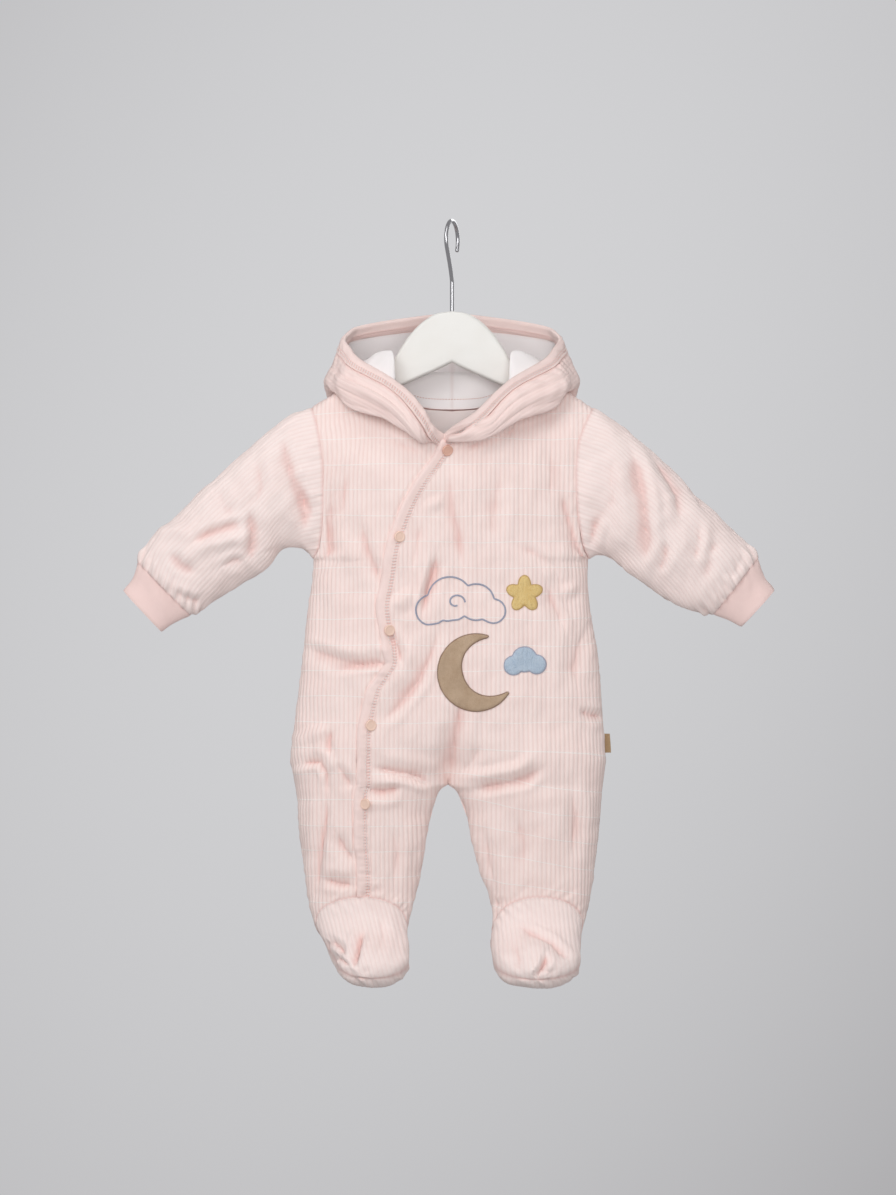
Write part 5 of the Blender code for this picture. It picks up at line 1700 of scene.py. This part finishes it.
def stitch_tree():
    """Geometry Nodes: stitches of even spacing along a path, turned across it for satin stitch."""
    tree = bpy.data.node_groups.new("stitches along a path", "GeometryNodeTree")
    sockets = {}
    kinds = {"Path": "Geometry", "Spacing": "Float", "Length": "Float", "Radius": "Float", "Turn": "Float"}
    for title, kind in (kinds | {"Thread": "Material"}).items():
        made = tree.interface.new_socket(title, in_out="INPUT", socket_type=f"NodeSocket{kind}")
        sockets[title] = made.identifier
    tree.interface.new_socket("Stitches", in_out="OUTPUT", socket_type="NodeSocketGeometry")
    given = tree.nodes.new("NodeGroupInput").outputs
    line = after("GeometryNodeMeshToCurve", given["Path"])
    even = add(tree, "GeometryNodeResampleCurve", mode="LENGTH")
    give(even, {"Curve": line, "Length": given["Spacing"]})
    ahead = tree.nodes.new("GeometryNodeInputTangent").outputs[0]
    facing = give(add(tree, "GeometryNodeInputNamedAttribute", data_type="FLOAT_VECTOR"), {"Name": "facing"})
    across = after("ShaderNodeVectorMath", ahead, facing.outputs[0], operation="CROSS_PRODUCT")
    parts = []
    for vector, operation in ((ahead, "COSINE"), (across, "SINE")):
        part = add(tree, "ShaderNodeVectorMath", vector, operation="SCALE")
        parts.append(give(part, {"Scale": reckon(operation, given["Turn"])}).outputs[0])
    way = after("ShaderNodeVectorMath", *parts, operation="ADD")
    turned = give(add(tree, "FunctionNodeAlignRotationToVector", axis="Z"), {"Vector": way}).outputs[0]
    ball = add(tree, "GeometryNodeMeshUVSphere")
    give(ball, {"Segments": 6, "Rings": 4, "Radius": given["Radius"]})
    half = reckon("DIVIDE", times(given["Length"], 0.5), given["Radius"])
    scale = after("ShaderNodeCombineXYZ", 1.0, 1.0, half)
    copies = add(tree, "GeometryNodeInstanceOnPoints", even.outputs[0])
    give(copies, {"Instance": ball.outputs["Mesh"], "Rotation": turned, "Scale": scale})
    soft = after("GeometryNodeSetShadeSmooth", after("GeometryNodeRealizeInstances", copies.outputs[0]))
    dyed = give(add(tree, "GeometryNodeSetMaterial"), {"Geometry": soft, "Material": given["Thread"]})
    join(tree, dyed.outputs[0], tree.nodes.new("NodeGroupOutput").inputs[0])
    return tree, sockets


STITCHES, STITCH_SOCKETS = stitch_tree()


def stitch(name, paths, thread_finish, spacing, length, radius, turn=0.0):
    """Stitches along paths; each path is its points in millimetres and their normals."""
    points, edges, normals = [], [], []
    for path, facing in paths:
        edges += [(len(points) + k, len(points) + k + 1) for k in range(len(path) - 1)]
        points += (path * MM).tolist()
        normals += facing.tolist()
    mesh = bpy.data.meshes.new(name)
    mesh.from_pydata(points, edges, [])
    with_vectors(mesh, "facing", normals)
    made = placed(name, mesh)
    modifier = made.modifiers.new("stitches", "NODES")
    modifier.node_group = STITCHES
    sizes = {"Spacing": spacing * MM, "Length": length * MM, "Radius": radius * MM, "Turn": turn}
    for title, value in (sizes | {"Thread": thread_finish}).items():
        modifier[STITCH_SOCKETS[title]] = value
    graph = bpy.context.evaluated_depsgraph_get()
    sewn_mesh = bpy.data.meshes.new_from_object(made.evaluated_get(graph))
    made.modifiers.remove(modifier)
    made.data = sewn_mesh
    bpy.data.meshes.remove(mesh)
    sewn_mesh.name = name
    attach(made, "root")
    return made


SNAP_PROFILE = (  # from the band up over the rolled rim and into the dish: radius and height
    (5.5, -0.4), (5.5, 0.7), (5.38, 1.15), (5.1, 1.5), (4.7, 1.66), (4.25, 1.6), (3.95, 1.38), (3.6, 1.28),
    (2.6, 1.36), (1.4, 1.43), (0.4, 1.45),
)
SNAP_SIDES = 40
SNAP_FOOT = 4.5  # the radius at which its underside clears the band


def stack_faces(count, rings):
    """Two caps and the sides of a stack of rings, each with this many points."""
    last = (rings - 1) * count
    faces = [tuple(range(count)), tuple(range(last, last + count))]
    for low in range(0, last, count):
        high = low + count
        for k in range(count):
            after = (k + 1) % count
            faces.append((low + k, low + after, high + after, high + k))
    return faces


def snap(name, x, z, surface, finish):
    """A cap with a rolled rim round a shallow dish, square to the band."""
    centre, normal = surface.in_front(x, z)
    across = np.cross(normal, (0, 0, 1))
    across /= np.linalg.norm(across)
    upwards = np.cross(across, normal)
    angles = np.arange(SNAP_SIDES) * 2 * math.pi / SNAP_SIDES
    arms = np.outer(np.cos(angles), across) + np.outer(np.sin(angles), upwards)
    feet = [surface.in_front(*(centre + SNAP_FOOT * arm)[[0, 2]])[0] for arm in arms]
    clear = max(np.dot(foot - centre, normal) for foot in feet)
    rings = [centre + radius * arms + (clear + height) * normal for radius, height in SNAP_PROFILE]
    return piece(name, np.concatenate(rings), stack_faces(SNAP_SIDES, len(rings)), finish, crisp=50)


PATCH_RISE = 1.7


def applique(name, flat, surface, finish):
    """A soft patch over the (x, z) grid, which rounds down to the panel at its edge."""
    found = [[surface.in_front(x, z) for x, z in row] for row in flat]
    on = np.array([[spot[0] for spot in row] for row in found])
    around_rows, around_columns = (flat.shape[0] > 60), (flat.shape[1] > 60)
    share = np.linspace(0, 1, flat.shape[1] if around_rows else flat.shape[0])
    edge = np.minimum(share, 1 - share) * 2 if around_rows else 1 - share
    rise = PATCH_RISE * (0.45 + 0.55 * np.sqrt(1 - (1 - np.clip(edge * 2.2, 0, 1)) ** 2))
    rise = rise[None, :] if around_rows else rise[:, None]
    outer = on.copy()
    outer[..., 1] -= rise + 0.12 * ripple(on[..., 0], on[..., 2], 5, 111)
    inner = on - (0, 0.3, 0)
    sides = sides_of("open open open open")
    if around_columns:
        sides = sides_of("joined joined joined open")
    relief = np.zeros(on.shape[:2])
    made = wall(name, [patch(outer, inner, sides, relief, on[..., 0], on[..., 2])], finish, every=(1, 1))
    wide, high = np.ptp(flat.reshape(-1, 2), axis=0) * MM
    CUT[name] = (wide, high, min(CUT[name][2], wide * high))
    return made


def outline(points, surface, lift, step=1.2):
    """A path over the front along (x, z) points, at even steps."""
    points = np.asarray(points, float)
    lengths = run_lengths(points, 0)
    at = np.linspace(0, lengths[-1], max(2, int(lengths[-1] / step)))
    xs, zs = (np.interp(at, lengths, points[:, k]) for k in range(2))
    return lifted([surface.in_front(x, z) for x, z in zip(xs, zs)], lift)


MOON = (24, -450, 38, 23, math.radians(200))  # x, z, radius, thickness and turn
STAR = (72, -372, 18, 5, 0.42)  # x, z, radius, points and depth
CLOUD = (72, -440, ((-11, -3, 9), (0, 3, 12), (12, -2, 9)))
SATIN = math.pi / 2  # satin stitches lie across their path
STITCHED_CLOUD = (8, -381, ((-29, -7, 15), (-10, 4, 22), (16, 1, 18), (33, -8, 12)))


def artwork(surface):
    """A sleepy sky: a velour moon, a terry star and cloud, and a bigger cloud in stitches only."""
    moon, star, cloud = moon_grid(*MOON), star_grid(*STAR), cloud_grid(*CLOUD)
    applique("applique_moon_velour", moon, surface, TAN_VELOUR)
    applique("applique_star_terry", star, surface, YELLOW_TERRY)
    applique("applique_cloud_terry", cloud, surface, BLUE_TERRY)
    moon_edge = np.concatenate([moon[:, -1], moon[::-1, 0], moon[:1, -1]])
    edges = {"moon": moon_edge, "star": star[-1], "cloud": cloud[-1]}
    for (name, edge), dyed in zip(edges.items(), (TAN_THREAD, GOLD_THREAD, LAVENDER_THREAD)):
        path = outline(edge, surface, 0.5)
        stitch(f"applique_{name}_border", [path], dyed, 0.62, 2.5, 0.36, SATIN)
    ring = cloud_grid(*STITCHED_CLOUD)[-1]
    low = STITCHED_CLOUD[1] - 19
    ring[:, 1] = np.maximum(ring[:, 1], low + 2.5 * np.cos((ring[:, 0] - 8) / 11))
    turns = [(a, 1 - a / 9) for a in np.linspace(0, 5, 30)]
    swirl = [(4 + 9 * math.cos(a) * shrink, -380 + 8 * math.sin(a) * shrink) for a, shrink in turns]
    paths = [outline(line, surface, 0.35) for line in (ring, swirl)]
    stitch("stitched_cloud", paths, LAVENDER_THREAD, 0.6, 2.1, 0.36, SATIN)


LABEL_TOP, LABEL_END = -512, -531
LABEL_REACH = 5.4  # how far it stands out of the side seam
LABEL_SEWN = -1.5  # and how far in it is held
LABEL_GAP = 0.15  # half of what its two layers keep between them
LABEL_LAYER = 0.42


def label_tab(finish):
    """A bare folded tape that stands out of the side seam."""
    radius = LABEL_GAP + LABEL_LAYER
    fold, crook = LABEL_REACH - 0.9, LABEL_REACH - 1.0
    turn = np.linspace(-math.pi / 2, math.pi / 2, 9)
    outside = [(LABEL_SEWN, -radius), (fold, -radius)]
    outside += [(fold + radius * math.cos(a), radius * math.sin(a)) for a in turn[1:-1]]
    outside += [(fold, radius), (LABEL_SEWN, radius)]
    inside = [(LABEL_SEWN, LABEL_GAP), (crook, LABEL_GAP), (crook, -LABEL_GAP), (LABEL_SEWN, -LABEL_GAP)]
    loop = np.array(outside + inside)
    rings = []
    for z in np.linspace(LABEL_TOP, LABEL_END, 13):
        edge = side("right", np.array(z), 0.0)
        bend = 0.5 * math.sin((z - LABEL_TOP) / 5.0)
        y = loop[:, 1] + bend * loop[:, 0] / LABEL_REACH
        rings.append(np.stack([loop[:, 0] + edge, y, np.full(len(loop), z)], axis=1))
    faces = stack_faces(len(loop), len(rings))
    return piece("label_tab_tape", np.concatenate(rings), faces, finish, crisp=50)


# The hanger


BOARD_NAME = "hanger_board_wood"
BOARD_TIP = [(127.2, -182.6), (128.5, -187.6), (126.9, -192.8)]


def hanger_board(finish):
    """The cut-out board with its edges rounded over."""
    reach_top, reach_under = np.linspace(0, 124, 44), np.linspace(123, 0, 36)
    top = [(x, float(read(HANGER_TOP, "height", x, "reach"))) for x in reach_top]
    under = [(x, float(read(HANGER_UNDER, "height", x, "reach"))) for x in reach_under]
    right = top + BOARD_TIP + under
    shape = right + [(-x, z) for x, z in right[-2:0:-1]]
    count = len(shape)
    points = np.array([(x, y, z) for y in (-BOARD / 2, BOARD / 2) for x, z in shape])
    faces = [tuple(range(count)), tuple(range(2 * count - 1, count - 1, -1))]
    faces += [(k, (k + 1) % count, (k + 1) % count + count, k + count) for k in range(count)]
    made = piece(BOARD_NAME, points, faces, finish, crisp=70)
    bevel = made.modifiers.new("rounded edges", "BEVEL")
    bevel.width = 3.4 * MM
    bevel.segments = 5
    bevel.limit_method = "ANGLE"
    bevel.angle_limit = math.radians(60)
    return plain_mesh(made)


def plain_mesh(made):
    """The object's evaluated shape as its own mesh."""
    graph = bpy.context.evaluated_depsgraph_get()
    mesh = bpy.data.meshes.new_from_object(made.evaluated_get(graph))
    made.modifiers.clear()
    made.data = mesh
    mesh.shade_smooth()
    mesh.set_sharp_from_angle(angle=math.radians(35))
    return made


def hanger_hook(finish):
    """A bent wire with a rounded tip, swept along the hook's route."""
    route = np.array(hook_route())
    route = np.concatenate([[route[0] - (0, 0, 3)], route])
    route = spline(route, np.linspace(0, len(route) - 1, 5 * len(route)))
    ahead = np.gradient(route, axis=0)
    ahead /= np.linalg.norm(ahead, axis=1, keepdims=True)
    sideways = np.array((math.cos(HOOK_TURN), -math.sin(HOOK_TURN), 0.0))
    outwards = np.cross(ahead, sideways)[:, None]
    angles = np.linspace(0, 2 * math.pi, 17)[:-1, None]
    radii = np.full(len(route), WIRE)
    from_tip = np.linalg.norm(route - route[-1], axis=1)
    near_tip = (from_tip < WIRE) & (np.arange(len(route)) > len(route) - 12)
    radii[near_tip] = np.sqrt(np.maximum(WIRE**2 - (WIRE - from_tip[near_tip]) ** 2, 0.01))
    rings = route[:, None] + radii[:, None, None] * (np.cos(angles) * sideways + np.sin(angles) * outwards)
    faces = stack_faces(len(angles), len(route))
    return piece("hanger_hook_wire", rings.reshape(-1, 3), faces, finish, crisp=50)


# The garment


def clothe():
    """Every cloth piece, in the order that a maker would join them."""
    over = front_overlap(BODY_KNIT)
    under = front_underlap(BODY_KNIT)
    back(BODY_KNIT)
    band = wrap_binding(BAND_KNIT)
    back_neck_lining(PINK_LINING)
    for name in ("left", "right"):
        foot_piece("vamp", name, SLEEVE_KNIT)
        foot_piece("sole", name, SLEEVE_KNIT)
        sleeve(name, SLEEVE_KNIT)
        cuff(name, PLAIN_KNIT)
        hood_half(name, HOOD_KNIT, WHITE_LINING)
    hood_rim(BAND_KNIT)
    return over, under, band


def column_path(name, column):
    """One column down a piece's grids."""
    return np.concatenate([grid[:, column] for grid in GRIDS[name]])


BAND_SEWING = (3.1, 2.3, 0.55)  # spacing, length and radius of the stitches
RIM_SEWING = (3.1, 2.3, 0.5)
VAMP_SEWING = (2.6, 1.9, 0.28)
NECK_SEWING = (2.8, 2.1, 0.45)


def sew(name, source, lines, thread_finish, sizes, lift):
    """Stitches along lines of a piece's own grid, lifted off it."""
    surface = Surface(bpy.data.objects[source])
    stitch(name, [surface.near(line, lift) for line in lines], thread_finish, *sizes)


def seams():
    """The stitches that hold the band, the hood's rim, the vamps and the neck."""
    columns_down = [column_path("wrap_binding_cloth", column) for column in BAND_STITCH_COLUMNS]
    sew("wrap_binding_stitches", "wrap_binding_cloth", columns_down, PINK_THREAD, BAND_SEWING, 0.3)
    rim_rows = [GRIDS["hood_rim_cloth"][0][row, 2:-1] for row in RIM_STITCH_ROWS]
    sew("hood_rim_stitches", "hood_rim_cloth", rim_rows, PINK_THREAD, RIM_SEWING, 0.3)
    for name, seen in (("left", np.s_[84:]), ("right", np.s_[:-84])):
        vamp, lining = f"vamp_{name}_cloth", f"hood_lining_{name}_cloth"
        above_seam = [GRIDS[lining][0][-5][seen]]
        sew(f"vamp_{name}_stitches", vamp, [GRIDS[vamp][0][1, 4:-4]], PINK_THREAD, VAMP_SEWING, 0.2)
        sew(f"neck_{name}_stitches", lining, above_seam, ROSE_THREAD, NECK_SEWING, 0.25)


def declare():
    """Who replaces what: each part's own piece is attached to the root body and the part hidden."""
    slots = {entry["node"]: entry["material_slot"] for entry in frame["record"]["subparts"]}
    for node, slot_name in slots.items():
        made = [one for one in bpy.data.objects if one.name.startswith(node + "_") and one.name not in slots]
        one = next(one for one in made if not one.name.endswith(("_stitches", "_border")))
        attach(one, "root")
        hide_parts(node)


over, under, band = clothe()
front = Surface(over, under, band)
for number, row in enumerate(rows_of(SNAPS), 1):
    # The top snap is drawn in a darker peach than the others.
    finish = DARKER_PEACH_PLASTIC if number == 1 else PEACH_PLASTIC
    snap(f"snap_{number}_cap", row["x"], row["z"], front, finish)
artwork(Surface(over))
label_tab(TAN_TAPE)
hanger_board(SATIN_PAINT)
hanger_hook(WIRE_STEEL)
seams()
declare()


# Camera, light and surroundings


CAMERA_AWAY = 4.0
SEEN_HEIGHT = 1.195  # how much of the height a frame shows, in metres
SENSOR = 36


def camera():
    data = bpy.data.cameras.new("Camera")
    data.sensor_width = SENSOR
    data.lens = SENSOR * CAMERA_AWAY / SEEN_HEIGHT
    made = placed("Camera", data)
    made.location = (-0.004, -CAMERA_AWAY - 0.01, -0.3755)
    made.rotation_euler = (math.pi / 2, 0, 0)
    bpy.context.scene.camera = made


def lamp(name, place, target, size, watts):
    data = bpy.data.lights.new(name, "AREA")
    data.shape = "DISK"
    data.size = size
    data.energy = watts
    made = placed(name, data)
    made.location = place
    made.rotation_euler = (Vector(target) - made.location).to_track_quat("-Z", "Y").to_euler()


def surroundings():
    """Soft light all round, and a backdrop grey with painted light and shade: lightest near the middle,
    darker towards the edges and the lower right.
    """
    world = bpy.data.worlds.new("soft sky")
    world.use_nodes = True
    bpy.context.scene.world = world
    tree = world.node_tree
    light = give(tree.nodes["Background"], {"Color": (1, 1, 1, 1), "Strength": 0.35})
    way = add(tree, "ShaderNodeSeparateXYZ", tree.nodes.new("ShaderNodeTexCoord").outputs["Generated"])
    x = plus(way.outputs["X"], 0.005)
    z = plus(way.outputs["Z"], -0.05)
    across, upwards = (
        reckon("POWER", reckon("DIVIDE", reckon("ABSOLUTE", part), size), 2.0)
        for part, size in ((x, 0.15), (z, 0.2))
    )
    away = plus(plus(across, upwards), times(times(x, z), -20.0))
    grey = blend(ranged(away, 0.0, 2.2, 0.0, 1.0), colour(210, 210, 212), colour(172, 171, 173))
    seen = after("ShaderNodeBackground", grey, 1.0)
    path = tree.nodes.new("ShaderNodeLightPath").outputs
    straight = reckon("MAXIMUM", path["Is Camera Ray"], path["Is Glossy Ray"])
    straight = reckon("MAXIMUM", straight, path["Is Transmission Ray"])
    both = after("ShaderNodeMixShader", straight, light.outputs[0], seen)
    join(tree, both, tree.nodes["World Output"].inputs["Surface"])


bpy.context.scene.view_settings.view_transform = "Standard"
camera()
surroundings()
lamp("key", (-1.3, -2.1, 1.0), (0, 0, -0.4), 1.6, 22)
lamp("fill", (0.3, -3.1, -0.1), (0, 0, -0.3), 1.8, 34)
lamp("rear", (1.0, 2.4, 0.9), (0, 0, -0.4), 1.8, 18)
lamp("top", (-0.1, -0.9, 1.2), (0, 0.04, -0.16), 0.9, 4)
